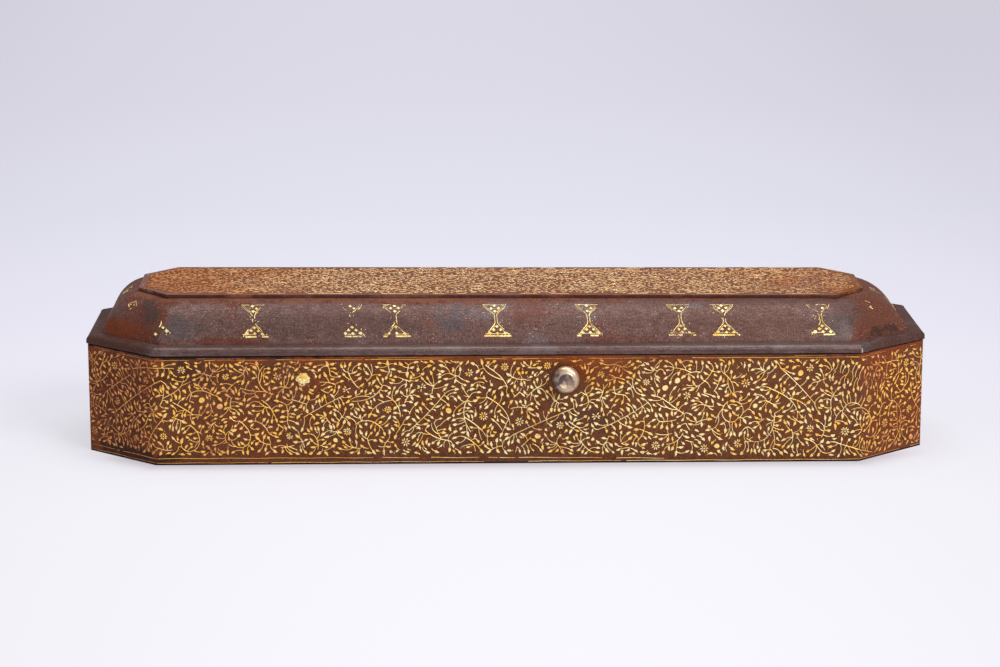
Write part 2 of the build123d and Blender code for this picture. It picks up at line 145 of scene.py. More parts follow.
class Shade:
    """A material being built: its nodes, and the principled shader that they feed."""

    def __init__(self, name: str) -> None:
        """Start a material of this name with nothing linked to its shader."""
        self.material = bpy.data.materials.new(name)
        self.material.use_nodes = True
        self.tree = self.material.node_tree
        self.shader = self.tree.nodes["Principled BSDF"]

    def node(
        self,
        kind: str,
        settings: Optional[dict] = None,
        inputs: Optional[dict] = None,
        output: Union[int, str] = 0,
    ) -> Signal:
        """Add a node.

        Args:
            kind: The node's type.
            settings: Properties of the node, and "stops" for a ramp's stops; set first.
            inputs: Values or signals for its sockets, by name or number.
            output: The socket that carries the result, by name or number.

        Returns:
            The signal of that output.
        """
        made = self.tree.nodes.new(kind)
        for name, value in (settings or {}).items():
            if name == "stops":
                ramp = made.color_ramp.elements
                while len(ramp) < len(value):
                    ramp.new(0.5)
                for stop, (position, colour) in zip(ramp, value):
                    stop.position = position
                    stop.color = colour
            else:
                setattr(made, name, value)
        for key, value in (inputs or {}).items():
            self.feed(made.inputs[key], value)
        return Signal(self, made.outputs[output])

    def feed(self, socket: bpy.types.NodeSocket, value: Union[Value, Sequence[float]]) -> None:
        """Feed a socket.

        Args:
            socket: The socket.
            value: A signal to link to it, or a constant to set it to.
        """
        if isinstance(value, Signal):
            self.tree.links.new(value.socket, socket)
        else:
            socket.default_value = value

    def vector_maths(self, operation: str, inputs: dict) -> Signal:
        """The vector that one Vector Math node works out from these inputs."""
        return self.node("ShaderNodeVectorMath", {"operation": operation}, inputs, "Vector")

    def spot(self) -> Signal:
        """Place on the object in millimetres."""
        raw = self.node("ShaderNodeTexCoord", output="Object")
        return self.vector_maths("SCALE", {0: raw, "Scale": 1 / MM})

    def axes(self, spot: Signal) -> tuple[Signal, Signal, Signal]:
        """The three coordinates of a place."""
        split = self.node("ShaderNodeSeparateXYZ", inputs={0: spot}).socket.node
        return tuple(Signal(self, split.outputs[axis]) for axis in "XYZ")

    def grain(self, spot: Signal, grain: Grain) -> Signal:
        """Noise at a place, mostly between 0.3 and 0.7."""
        inputs = {"Scale": 1 / grain.lump, "Detail": grain.layers, "Roughness": grain.roughness}
        return self.node("ShaderNodeTexNoise", inputs={"Vector": spot, **inputs})

    def lean(self, spot: Signal, turn: Sequence[float], stretch: Sequence[float]) -> Signal:
        """A place turned and stretched, so that a grain on it runs one way.

        Args:
            spot: Place on the object.
            turn: Turns about the three axes in degrees.
            stretch: Factors along the three axes after the turn.

        Returns:
            The changed place.
        """
        inputs = {"Vector": spot, "Rotation": [math.radians(angle) for angle in turn]}
        turned = self.node("ShaderNodeVectorRotate", {"rotation_type": "EULER_XYZ"}, inputs)
        return self.vector_maths("MULTIPLY", {0: turned, 1: stretch})

    def mix(
        self, share: Value, first: Union[Signal, Colour], second: Union[Signal, Colour]
    ) -> Signal:
        """Colour between two colours: the first where the share is 0, the second where it is 1."""
        inputs = {0: share, 6: first, 7: second}
        return self.node("ShaderNodeMix", {"data_type": "RGBA"}, inputs, 2)

    def bump(self, height: Signal, depth: float, under: Optional[Signal] = None) -> Signal:
        """Normal of a surface with small relief.

        Args:
            height: Height as a share of the depth.
            depth: Depth of the relief in millimetres.
            under: A normal that the relief lies on.

        Returns:
            The normal.
        """
        inputs = {"Strength": 1.0, "Distance": depth * MM, "Height": height}
        if under:
            inputs["Normal"] = under
        return self.node("ShaderNodeBump", inputs=inputs, output="Normal")

    def finish(self, **sockets: Union[Value, Sequence[float]]) -> bpy.types.Material:
        """Feed the principled shader.

        Args:
            sockets: Signals and constants, named as the shader's sockets are, with _ for spaces.

        Returns:
            The finished material.
        """
        for name, value in sockets.items():
            self.feed(self.shader.inputs[name.replace("_", " ")], value)
        return self.material


# Where on the box a finish changes
class Way(Enum):
    """Ways through the box."""

    ALONG = "from the left end to the right"
    TO_ENDS = "from the middle to both ends"
    UP = "from the underside up"


@dataclass(frozen=True)
class Rise:
    """A number that grows smoothly from 0 to an amount along one way."""

    way: Way
    low: float
    high: float
    amount: float

    def at(self, x: Signal, z: Signal) -> Signal:
        """The number at a place this far along and up."""
        if self.way is Way.UP:
            return z.rises(self.low, self.high) * self.amount
        along = abs(x) if self.way is Way.TO_ENDS else x
        return along.rises(self.low, self.high) * self.amount


@dataclass(frozen=True)
class Oval:
    """An oval round a point seen from the front."""

    x: float
    z: float
    reach_x: float
    reach_z: float

    def away(self, x: Signal, z: Signal) -> Signal:
        """Square of a place's distance from the point, 1 on the oval."""
        return squares((x - self.x) / self.reach_x, (z - self.z) / self.reach_z)


@dataclass(frozen=True)
class Halo(Oval):
    """A number that grows from 0 on an oval to an amount at its middle."""

    amount: float

    def at(self, x: Signal, z: Signal) -> Signal:
        """The number at a place this far along and up."""
        return self.away(x, z).rises(1.0, 0.0) * self.amount


@dataclass(frozen=True)
class Patch(Oval):
    """A cloudy oval of another tone."""

    colour: Colour
    strength: float
    raggedness = 4.0
    edge = (1.1, 0.2)

    def share(self, x: Signal, z: Signal, cloud: Signal) -> Signal:
        """How strongly it shows at a place, where a noise breaks up its edge."""
        away = self.away(x, z) + (cloud - 0.5) * self.raggedness
        return away.rises(*self.edge) * self.strength


@dataclass(frozen=True)
class Zone:
    """Where the steel is browner, as a number that is added to its rust."""

    parts: tuple[Union[Rise, Halo], ...] = ()
    level: float = 0.0

    def at(self, x: Signal, z: Signal) -> Value:
        """The number at a place this far along and up."""
        return sum((part.at(x, z) for part in self.parts), self.level)


@dataclass(frozen=True)
class LeanedSheet:
    """The form of the top plate, which leans to the right, for the colours of its edges, sides and
    underside.
    """

    half_length: float = 131.0
    half_width: float = 25.5
    corner_face: Span = (0.767, 0.642)
    corner_reach: float = 108.2
    underside: float = 56.3
    shift: float = 1.6
    drop: float = 1.3

    def depth(self, x: Signal, y: Signal) -> Signal:
        """How far a place lies inside the outline.

        Args:
            x: The place's distance along the box.
            y: Its distance across it.

        Returns:
            The distance from the nearest edge.
        """
        along, across = abs(x), abs(y)
        corner = along * self.corner_face[0] + across * self.corner_face[1]
        flats = (self.half_length - along).smaller(self.half_width - across)
        return flats.smaller(self.corner_reach - corner)

    def height(self, x: Signal, z: Signal) -> Signal:
        """Height of a place over the underside."""
        share = (x + self.shift) / (2 * self.half_length) + 0.5
        return z + share * self.drop - self.underside


WALL_ZONE = Zone(
    (
        Rise(Way.UP, 35.0, 38.5, 0.12),
        Rise(Way.TO_ENDS, 121.0, 129.0, 0.11),
        Rise(Way.ALONG, -10.0, -130.0, 0.09),
        Halo(33.0, 33.5, 17.0, 8.0, 0.17),
    )
)
DOME_ZONE = Zone(
    (
        Rise(Way.TO_ENDS, 112.0, 130.0, 0.2),
        Rise(Way.UP, 44.5, 42.3, 0.07),
        Rise(Way.UP, 53.6, 55.4, 0.17),
    )
)
PLATE_ZONE = Zone(
    (Rise(Way.TO_ENDS, 70.0, 125.0, 0.1), Rise(Way.ALONG, -40.0, -120.0, 0.06)), level=0.02
)
RIM_ZONE = Zone((Rise(Way.TO_ENDS, 120.0, 132.0, 0.2),))

# Finishes
CLOUD = Grain(21.0, 3.0)
HAZE = Grain(13.0, 4.0, 0.6)
DENTS = Grain(9.0)
MOTTLE = Grain(3.4, 5.0, 0.62)
FINE = Grain(0.5, 3.0, 0.6)
FLECKS = Grain(0.5, 2.0, 0.7)
GOLD_CLOUD = Grain(17.0, 3.0)
GOLD_FINE = Grain(0.6, 3.0, 0.65)
STAINS = Grain(2.6, 5.0, 0.62)
STROKES = Grain(0.25)
SMUDGES = Grain(1.7, 4.0, 0.6)
RINGS = Grain(0.35, 3.0, 0.7)

FLECK_TONE = display(196, 172, 156)
CORNER_TONE = display(214, 196, 184)
FOOT_GRIME_AND_SHADE_TONE = display(36, 20, 18)
EDGE_WEAR_AND_HIGHLIGHT_TONE = display(118, 94, 90)
SIDE_TONE = display(124, 76, 56)
SIDE_RUST = display(76, 35, 25)
UNDERSIDE_SHADE_TONE = display(78, 58, 52)


@dataclass(frozen=True)
class AgedSteel:
    """Blackened steel that has gone brown, keyed with fine crossed lines."""

    name: str
    ground: Colour
    deep: Colour
    rust: Colour
    bloom: Colour
    zone: Zone = Zone()
    rust_start: float = 0.56
    rust_fade: float = 0.13
    rust_share: float = 0.85
    bloom_start: float = 0.56
    bloom_fade: float = 0.12
    bloom_share: float = 0.6
    key_depth: float = 0.03
    key_lump: float = 0.34
    key_turns: Span = (38.0, -41.0)
    key_stretch: tuple[float, float, float] = (1.0, 1.0, 0.11)
    dent_depth: float = 0.22
    speckle: float = 0.0
    worn_corner: Optional[Span] = None
    foot_grime_and_shade: Optional[Span] = None
    sheet: Optional[LeanedSheet] = None
    patches: tuple[Patch, ...] = ()
    metallic: float = 0.35
    roughness: float = 0.5
    gloss: float = 0.2

    def material(self) -> bpy.types.Material:
        """The steel as a material."""
        shade = Shade(self.name)
        spot = shade.spot()
        x, y, z = shade.axes(spot)
        cloud, mottle, fine, haze, dents = (
            shade.grain(spot, grain) for grain in (CLOUD, MOTTLE, FINE, HAZE, DENTS)
        )
        lines, crossed = (
            shade.grain(shade.lean(spot, (0, turn, 0), self.key_stretch), Grain(self.key_lump, 1.0))
            for turn in self.key_turns
        )
        key = (lines + crossed) * 0.5
        patch = cloud * 0.55 + mottle * 0.45
        rust = patch + self.zone.at(x, z)
        rust = rust.rises(self.rust_start, self.rust_start + self.rust_fade)
        bloom = haze.rises(self.bloom_start, self.bloom_start + self.bloom_fade)
        tone = (fine * 0.45 + key * 0.4 + mottle * 0.15).rises(0.38, 0.6)
        colour = shade.mix(tone, self.deep, self.ground)
        colour = shade.mix(bloom * self.bloom_share, colour, self.bloom)
        rusty = shade.mix(fine.rises(0.35, 0.66), darker(self.rust), self.rust)
        colour = shade.mix(rust * self.rust_share, colour, rusty)
        if self.speckle:
            flecks = shade.grain(spot, FLECKS).rises(0.61, 0.68)
            flecks = flecks * (cloud * 0.5 + haze * 0.5).rises(0.4, 0.58)
            colour = shade.mix(flecks * self.speckle, colour, FLECK_TONE)
        for stain in self.patches:
            toned = shade.mix(tone * 0.7, darker(stain.colour), stain.colour)
            colour = shade.mix(stain.share(x, z, mottle), colour, toned)
        if self.worn_corner:
            away = squares(x - self.worn_corner[0], y - self.worn_corner[1]).root()
            near = away.rises(0.5, 0.2) * mottle.rises(0.3, 0.45)
            colour = shade.mix(near, colour, CORNER_TONE)
        # Darker towards the foot of the wall: dark steel along the bottom edge, with a painted
        # contact shade where the box stands on the floor.
        if self.foot_grime_and_shade:
            colour = shade.mix(z.rises(*self.foot_grime_and_shade) * 0.95, colour, FOOT_GRIME_AND_SHADE_TONE)
        if self.sheet:
            # A pale band round the plate's edge: rubbed bare steel, with a painted highlight on its
            # bevel.
            worn = self.sheet.depth(x, y).rises(1.0, 0.5) * mottle.rises(0.34, 0.52)
            height = self.sheet.height(x, z)
            side = shade.mix(patch.rises(0.44, 0.62), SIDE_RUST, SIDE_TONE)
            colour = shade.mix(worn * 0.85, colour, EDGE_WEAR_AND_HIGHLIGHT_TONE)
            colour = shade.mix(height.rises(1.15, 0.95) * 0.85, colour, side)
            # Painted shade at the foot of the plate's sides and under it.
            colour = shade.mix(height.rises(0.12, 0.04) * 0.75, colour, UNDERSIDE_SHADE_TONE)
        return shade.finish(
            Base_Color=colour,
            Metallic=self.metallic * (1.0 - rust * 0.7),
            Roughness=self.roughness + rust * 0.2 - tone * 0.08,
            Normal=shade.bump(key + fine * 0.5, self.key_depth, shade.bump(dents, self.dent_depth)),
            Specular_IOR_Level=self.gloss,
        )


@dataclass(frozen=True)
class GoldOverlay:
    """Thin gold laid on keyed steel, bright in places and rubbed or rusted in others."""

    name: str
    bright: Colour
    warm: Colour
    rusted: Colour
    worn: Colour
    zone: Zone = Zone()
    rust_start: float = 0.55
    rust_fade: float = 0.15
    wear_start: float = 0.58
    wear_fade: float = 0.07
    metallic: float = 0.55
    roughness: float = 0.44
    grain_depth: float = 0.04

    def material(self) -> bpy.types.Material:
        """The gold as a material."""
        shade = Shade(self.name)
        spot = shade.spot()
        x, _, z = shade.axes(spot)
        cloud, mottle, fine = (
            shade.grain(spot, grain) for grain in (GOLD_CLOUD, MOTTLE, GOLD_FINE)
        )
        patch = (cloud + mottle) * 0.5
        zone = self.zone.at(x, z)
        rust = (patch + zone).rises(self.rust_start, self.rust_start + self.rust_fade)
        wear = patch * 0.35 + fine * 0.65 + zone * 0.35
        wear = wear.rises(self.wear_start, self.wear_start + self.wear_fade)
        pale = (mottle - zone * 1.3).rises(0.38, 0.56)
        colour = shade.mix(pale, self.warm, self.bright)
        colour = shade.mix(rust * 0.9, colour, self.rusted)
        return shade.finish(
            Base_Color=shade.mix(wear, colour, self.worn),
            Metallic=self.metallic - wear * 0.3 - rust * 0.2,
            Roughness=self.roughness + wear * 0.2 + rust * 0.15,
            Normal=shade.bump(fine, self.grain_depth),
        )


@dataclass(frozen=True)
class WorkedMetal:
    """Plain forged metal, with tool lines and stains."""

    name: str
    base: Colour
    stain: Colour
    stretch: tuple[float, float, float] = (0.08, 1.0, 1.0)
    stain_start: float = 0.52
    stain_fade: float = 0.15
    metallic: float = 0.9
    roughness: float = 0.42
    stroke_depth: float = 0.012

    def material(self) -> bpy.types.Material:
        """The metal as a material."""
        shade = Shade(self.name)
        spot = shade.spot()
        strokes = shade.grain(shade.lean(spot, (0, 0, 0), self.stretch), STROKES)
        stain = shade.grain(spot, STAINS).rises(
            self.stain_start, self.stain_start + self.stain_fade
        )
        return shade.finish(
            Base_Color=shade.mix(stain, self.base, self.stain),
            Metallic=self.metallic - stain * 0.35,
            Roughness=self.roughness + stain * 0.2 + strokes * 0.08,
            Normal=shade.bump(strokes, self.stroke_depth),
        )


@dataclass(frozen=True)
class TurnedMetal:
    """Metal turned on a lathe, with rings round an axis that points to the front, and painted shade
    and highlight on its head.
    """

    name: str
    base: Colour
    stain: Colour
    axis_x: float
    axis_z: float
    disc_radius: float
    metallic: float = 0.85
    roughness: float = 0.4
    ring_depth: float = 0.03

    def material(self) -> bpy.types.Material:
        """The metal as a material."""
        shade = Shade(self.name)
        spot = shade.spot()
        x, _, z = shade.axes(spot)
        away_x, away_z = x - self.axis_x, z - self.axis_z
        radius = squares(away_x, away_z).root()
        rings = shade.grain(shade.node("ShaderNodeCombineXYZ", inputs={0: radius}), RINGS)
        mottle = shade.grain(spot, SMUDGES)
        disc = radius.rises(self.disc_radius + 0.1, self.disc_radius - 0.2)
        # Painted shade darkens the top of the hollow disc and the left of the head; a painted
        # highlight lightens its top right. Both are mixed into the stain, whose colour thus also
        # serves as the painted shade.
        painted_shade = away_z.rises(-1.6, 0.6) * disc * 0.75 + away_x.rises(0.5, -3.5) * 0.6
        rubbed = (away_z + away_x * 0.5).rises(0.5, 4.0) * 0.5
        stain = (mottle * 0.7 + rings * 0.3).rises(0.45, 0.62)
        stain = (stain * 0.6 + painted_shade - rubbed).larger(0.0).smaller(1.0)
        return shade.finish(
            Base_Color=shade.mix(stain, self.base, self.stain),
            Metallic=self.metallic,
            Roughness=self.roughness + stain * 0.12 + disc * 0.14,
            Normal=shade.bump(rings * 0.7 + mottle * 0.3, self.ring_depth),
        )


WALL_STEEL = AgedSteel(
    "wall_steel",
    ground=display(115, 68, 41),
    deep=display(74, 38, 22),
    rust=display(134, 62, 20),
    bloom=display(88, 62, 54),
    zone=WALL_ZONE,
    bloom_start=0.58,
    # The foot is darkened: dark steel at the edge and a painted contact shade.
    foot_grime_and_shade=(0.9, 0.3),
    patches=(
        Patch(-138.0, 20.0, 15.0, 30.0, display(92, 44, 20), 0.75),
        Patch(138.0, 18.0, 13.0, 16.0, display(126, 62, 22), 0.8),
        Patch(-134.0, 2.5, 18.0, 3.4, display(54, 30, 20), 0.8),
        Patch(30.0, 37.4, 22.0, 2.2, display(150, 76, 26), 0.8),
        # An orange line along the top edge: rust, with a painted highlight.
        Patch(-10.0, 38.0, 24.0, 1.2, display(146, 76, 34), 0.7),
        Patch(90.0, 38.6, 40.0, 1.0, display(84, 46, 34), 0.7),
        # A painted shade in the gap under the lid's rim, along the top of the wall at its left.
        Patch(-112.0, 38.9, 52.0, 0.7, display(40, 22, 16), 0.9),
        Patch(75.0, 22.0, 60.0, 22.0, display(134, 80, 48), 0.6),
        Patch(26.0, 15.0, 12.0, 6.0, display(84, 60, 56), 0.5),
        Patch(-112.0, 33.0, 12.0, 5.0, display(82, 48, 34), 0.6),
    ),
)
DOME_STEEL = AgedSteel(
    "dome_steel",
    ground=display(114, 84, 76),
    deep=display(74, 51, 45),
    rust=display(106, 50, 28),
    bloom=display(104, 98, 102),
    zone=DOME_ZONE,
    bloom_share=0.45,
    patches=(
        Patch(-116.0, 48.0, 8.0, 5.0, display(92, 87, 88), 0.7),
        Patch(-72.0, 50.0, 60.0, 6.0, display(94, 68, 62), 0.45),
        Patch(-100.0, 43.6, 20.0, 1.6, display(112, 56, 42), 0.7),
        Patch(-137.0, 45.0, 11.0, 4.0, display(128, 60, 24), 0.9),
        Patch(-127.0, 52.0, 5.0, 4.0, display(70, 58, 54), 0.7),
        Patch(-20.0, 50.0, 7.0, 5.0, display(98, 92, 98), 0.5),
        Patch(8.0, 52.0, 9.0, 4.0, display(116, 66, 52), 0.7),
        Patch(30.0, 44.5, 5.0, 1.8, display(112, 56, 44), 0.5),
        Patch(44.0, 43.8, 12.0, 1.6, display(104, 56, 46), 0.6),
        Patch(84.0, 48.0, 40.0, 8.0, display(106, 72, 60), 0.55),
        Patch(117.0, 47.0, 6.0, 5.0, display(92, 86, 86), 0.6),
        Patch(133.0, 49.0, 10.0, 7.0, display(108, 62, 42), 0.6),
        Patch(134.0, 44.0, 7.0, 2.0, display(56, 38, 32), 0.7),
        Patch(0.0, 56.9, 180.0, 2.4, display(144, 88, 64), 0.9),
    ),
    key_depth=0.08,
    key_lump=0.42,
    key_turns=(3.0, 86.0),
    speckle=0.6,
)
PLATE_STEEL = AgedSteel(
    "plate_steel",
    ground=display(142, 92, 64),
    deep=display(98, 60, 40),
    rust=display(142, 80, 42),
    bloom=display(116, 90, 74),
    zone=PLATE_ZONE,
    sheet=LeanedSheet(),
    roughness=0.6,
    gloss=0.03,
)
RIM_STEEL = AgedSteel(
    "rim_steel",
    ground=display(113, 91, 87),
    deep=display(80, 59, 55),
    rust=display(78, 42, 28),
    bloom=display(120, 106, 104),
    zone=RIM_ZONE,
    key_depth=0.015,
    key_turns=(90.0, 87.0),
    worn_corner=(124.9, -46.5),
    speckle=0.25,
    patches=(
        # The first two patches are a painted highlight along the rim's rounded top edge, with pale
        # wear in it.
        Patch(88.0, 42.2, 44.0, 0.9, display(136, 118, 114), 0.5),
        Patch(-30.0, 42.0, 30.0, 1.0, display(138, 118, 112), 0.45),
        Patch(-90.0, 41.0, 30.0, 2.0, display(106, 82, 76), 0.5),
        Patch(95.0, 40.6, 42.0, 1.1, display(96, 76, 72), 0.6),
        Patch(-138.0, 41.0, 12.0, 3.0, display(84, 48, 34), 0.7),
    ),
    metallic=0.7,
    roughness=0.48,
)
INNER_STEEL = AgedSteel(
    "inner_steel",
    ground=display(92, 70, 62),
    deep=display(66, 48, 42),
    rust=display(112, 66, 44),
    bloom=display(104, 92, 86),
    key_depth=0.01,
)
WALL_GOLD = GoldOverlay(
    "wall_gold",
    bright=display(255, 234, 166),
    warm=display(255, 196, 84),
    rusted=display(222, 148, 80),
    worn=display(130, 78, 42),
    zone=WALL_ZONE,
    metallic=0.46,
)
DOME_GOLD = GoldOverlay(
    "dome_gold",
    bright=display(255, 234, 160),
    warm=display(236, 190, 96),
    rusted=display(196, 124, 62),
    worn=display(132, 100, 84),
    wear_start=0.53,
)
PLATE_GOLD = GoldOverlay(
    "plate_gold",
    bright=display(255, 226, 172),
    warm=display(244, 190, 126),
    rusted=display(206, 136, 88),
    worn=display(138, 90, 64),
    zone=PLATE_ZONE,
    wear_start=0.56,
)
STUD_GOLD = GoldOverlay(
    "stud_gold",
    bright=display(255, 238, 170),
    warm=display(244, 196, 92),
    rusted=display(206, 132, 58),
    worn=display(96, 56, 34),
    wear_start=0.55,
)
SPRING_STEEL = WorkedMetal(
    "spring_steel",
    base=display(112, 106, 102),
    stain=display(96, 66, 48),
)
FITTING_STEEL = WorkedMetal(
    "fitting_steel",
    base=display(122, 102, 92),
    stain=display(88, 56, 42),
    stretch=(1.0, 1.0, 0.1),
    stain_start=0.47,
)
OLD_BRASS = WorkedMetal(
    "old_brass",
    base=display(168, 132, 76),
    stain=display(84, 62, 46),
    stretch=(1.0, 1.0, 0.1),
)


# Finished pieces
def put_in_scene(name: str, data: bpy.types.ID) -> bpy.types.Object:
    """New object of the scene with this name and data."""
    made = bpy.data.objects.new(name, data)
    bpy.context.scene.collection.objects.link(made)
    return made


def mesh_object(
    bm: bmesh.types.BMesh, name: str, material: bpy.types.Material, size: float = MM
) -> bpy.types.Object:
    """Turn a mesh into an object.

    Args:
        bm: The mesh, which is freed.
        name: Name of the object.
        material: Its material.
        size: Metres in one unit of the mesh.

    Returns:
        The new object.
    """
    bmesh.ops.scale(bm, vec=(size, size, size), verts=bm.verts)
    mesh = bpy.data.meshes.new(name)
    bm.to_mesh(mesh)
    bm.free()
    mesh.materials.append(material)
    return put_in_scene(name, mesh)


def make_piece(
    bm: bmesh.types.BMesh,
    name: str,
    material: bpy.types.Material,
    body: str,
    replaced: Optional[str] = None,
    crease: float = 35.0,
) -> None:
    """Turn a mesh drawn in millimetres into a piece of the box.

    Args:
        bm: The mesh, which is freed.
        name: Name of the piece.
        material: Its material.
        body: The moving body that it rides on.
        replaced: The CAD node that it replaces.
        crease: Angle in degrees past which an edge stays sharp.
    """
    piece = mesh_object(bm, name, material)
    piece.data.shade_smooth()
    piece.data.set_sharp_from_angle(angle=math.radians(crease))
    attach(piece, body)
    if replaced:
        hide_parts(replaced)
    LOG.info("%s: %d faces, rides on %s", name, len(piece.data.polygons), body)


def merged_copy(node: str) -> bmesh.types.BMesh:
    """Copy of a CAD node in millimetres, with its triangles joined into whole faces.

    Args:
        node: Name of the CAD node.

    Returns:
        The copy.
    """
    bm = bmesh.new()
    bm.from_mesh(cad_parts[node].data)
    bmesh.ops.scale(bm, vec=(1 / MM, 1 / MM, 1 / MM), verts=bm.verts)
    bmesh.ops.remove_doubles(bm, verts=bm.verts, dist=0.001)
    bmesh.ops.dissolve_limit(bm, angle_limit=math.radians(0.5), verts=bm.verts, edges=bm.edges)
    return bm


def move_all(bm: bmesh.types.BMesh, move: Callable[[np.ndarray], np.ndarray]) -> None:
    """Move all points of a mesh to the places that a function gives for theirs."""
    places = move(np.array([vert.co for vert in bm.verts]))
    for vert, place in zip(bm.verts, places):
        vert.co = place


def dress(material: bpy.types.Material, *nodes: str) -> None:
    """Give CAD nodes a material of their own.

    Args:
        material: The material.
        nodes: Names of the nodes.
    """
    for node in nodes:
        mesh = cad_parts[node].data
        mesh.materials.clear()
        mesh.materials.append(material)
        LOG.info("%s: CAD node in %s", node, material.name)


# The vine: wires and stamped marks, drawn flat
@dataclass
class Stem:
    """A wire of the drawing, along points of its middle line."""

    points: np.ndarray
    half_width: float
    tip_share: float = 0.6

    def middle(self) -> np.ndarray:
        """The point halfway along."""
        return self.points[len(self.points) // 2]


class Shape(Enum):
    """Shapes of the stamps: number of corners, how pointed the tip is, and sideways bend."""

    LEAF_LEFT = (9, 1.0, 0.9)
    LEAF_RIGHT = (9, 1.0, -0.9)
    PETAL = (6, 0.3, 0.0)
    DOT = (6, 0.0, 0.0)
    ROUND = (10, 0.25, 0.0)
    LOZENGE = (4, 0.0, 0.0)


@dataclass
class Mark:
    """One stamped shape of the drawing."""

    shape: Shape
    place: np.ndarray
    angle: float
    length: float
    width: float


@dataclass
class Drawing:
    """All stems and marks of one drawing."""

    stems: list[Stem]
    marks: list[Mark]

    def moved(self, step: Sequence[float]) -> "Drawing":
        """This drawing, moved by a step."""
        return Drawing(
            [Stem(stem.points + step, stem.half_width, stem.tip_share) for stem in self.stems],
            [replace(mark, place=mark.place + step) for mark in self.marks],
        )

    def part(self, start: float, end: float) -> "Drawing":
        """The stems and marks whose middles lie between two distances along the drawing."""
        return Drawing(
            [stem for stem in self.stems if start <= stem.middle()[0] < end],
            [mark for mark in self.marks if start <= mark.place[0] < end],
        )


def towards(angle: float) -> np.ndarray:
    """Unit step at an angle in radians."""
    return np.array([math.cos(angle), math.sin(angle)])


class Plot:
    """The free and taken cells of a flat piece of ground."""

    cell: float = 0.2

    def __init__(self, width: float, height: float) -> None:
        """Start with all of the ground free."""
        self.width = width
        self.height = height
        self.taken = np.zeros((int(width / self.cell) + 1, int(height / self.cell) + 1), bool)
        self.discs: dict[float, tuple[np.ndarray, np.ndarray]] = {}

    def _cells(self, points: Sequence, radius: float) -> tuple[np.ndarray, np.ndarray]:
        """Rows and columns of the cells within a radius of any of these points."""
        key = round(radius, 1)
        if key not in self.discs:
            reach = int(math.ceil(radius / self.cell))
            rows, columns = np.mgrid[-reach : reach + 1, -reach : reach + 1]
            near = rows * rows + columns * columns <= (radius / self.cell) ** 2
            self.discs[key] = (rows[near], columns[near])
        rows, columns = self.discs[key]
        middles = np.round(np.atleast_2d(points) / self.cell).astype(int)
        return (middles[:, 0, None] + rows).ravel(), (middles[:, 1, None] + columns).ravel()

    def is_free(self, points: Sequence, radius: float) -> bool:
        """Whether the ground within a radius of all these points is inside and free."""
        rows, columns = self._cells(points, radius)
        if min(rows.min(), columns.min()) < 0:
            return False
        if rows.max() >= self.taken.shape[0] or columns.max() >= self.taken.shape[1]:
            return False
        return not self.taken[rows, columns].any()

    def take(self, points: Sequence, radius: float) -> None:
        """Mark the ground within a radius of these points as taken."""
        rows, columns = self._cells(points, radius)
        inside = (rows >= 0) & (columns >= 0)
        inside &= (rows < self.taken.shape[0]) & (columns < self.taken.shape[1])
        self.taken[rows[inside], columns[inside]] = True

    def open_spots(self, radius: float) -> np.ndarray:
        """Points round which a square of this half size is free."""
        reach = int(radius / self.cell)
        padded = np.pad(self.taken.astype(np.int32), reach, constant_values=1)
        sums = np.pad(padded.cumsum(0).cumsum(1), ((1, 0), (1, 0)))
        size = 2 * reach + 1
        count = sums[size:, size:] - sums[:-size, size:] - sums[size:, :-size]
        count += sums[:-size, :-size]
        return np.argwhere(count == 0) * self.cell


@dataclass
class VineStyle:
    """How a vine is drawn."""

    seed: int
    scale: float = 1.0
    rosette_gap: float = 19.0
    area_per_round_leaf: float = 900.0
    area_per_long_stem: float = 1200.0
    step: float = 0.4
    leaf_gap: float = 3.0
    leaf_length: tuple[float, float] = (1.3, 2.25)
    leaf_width: tuple[float, float] = (0.8, 1.2)
    dust_per_area: float = 0.09
    stem_half_widths: tuple[float, float, float] = (0.17, 0.145, 0.13)
    stalk_half_width: float = 0.11


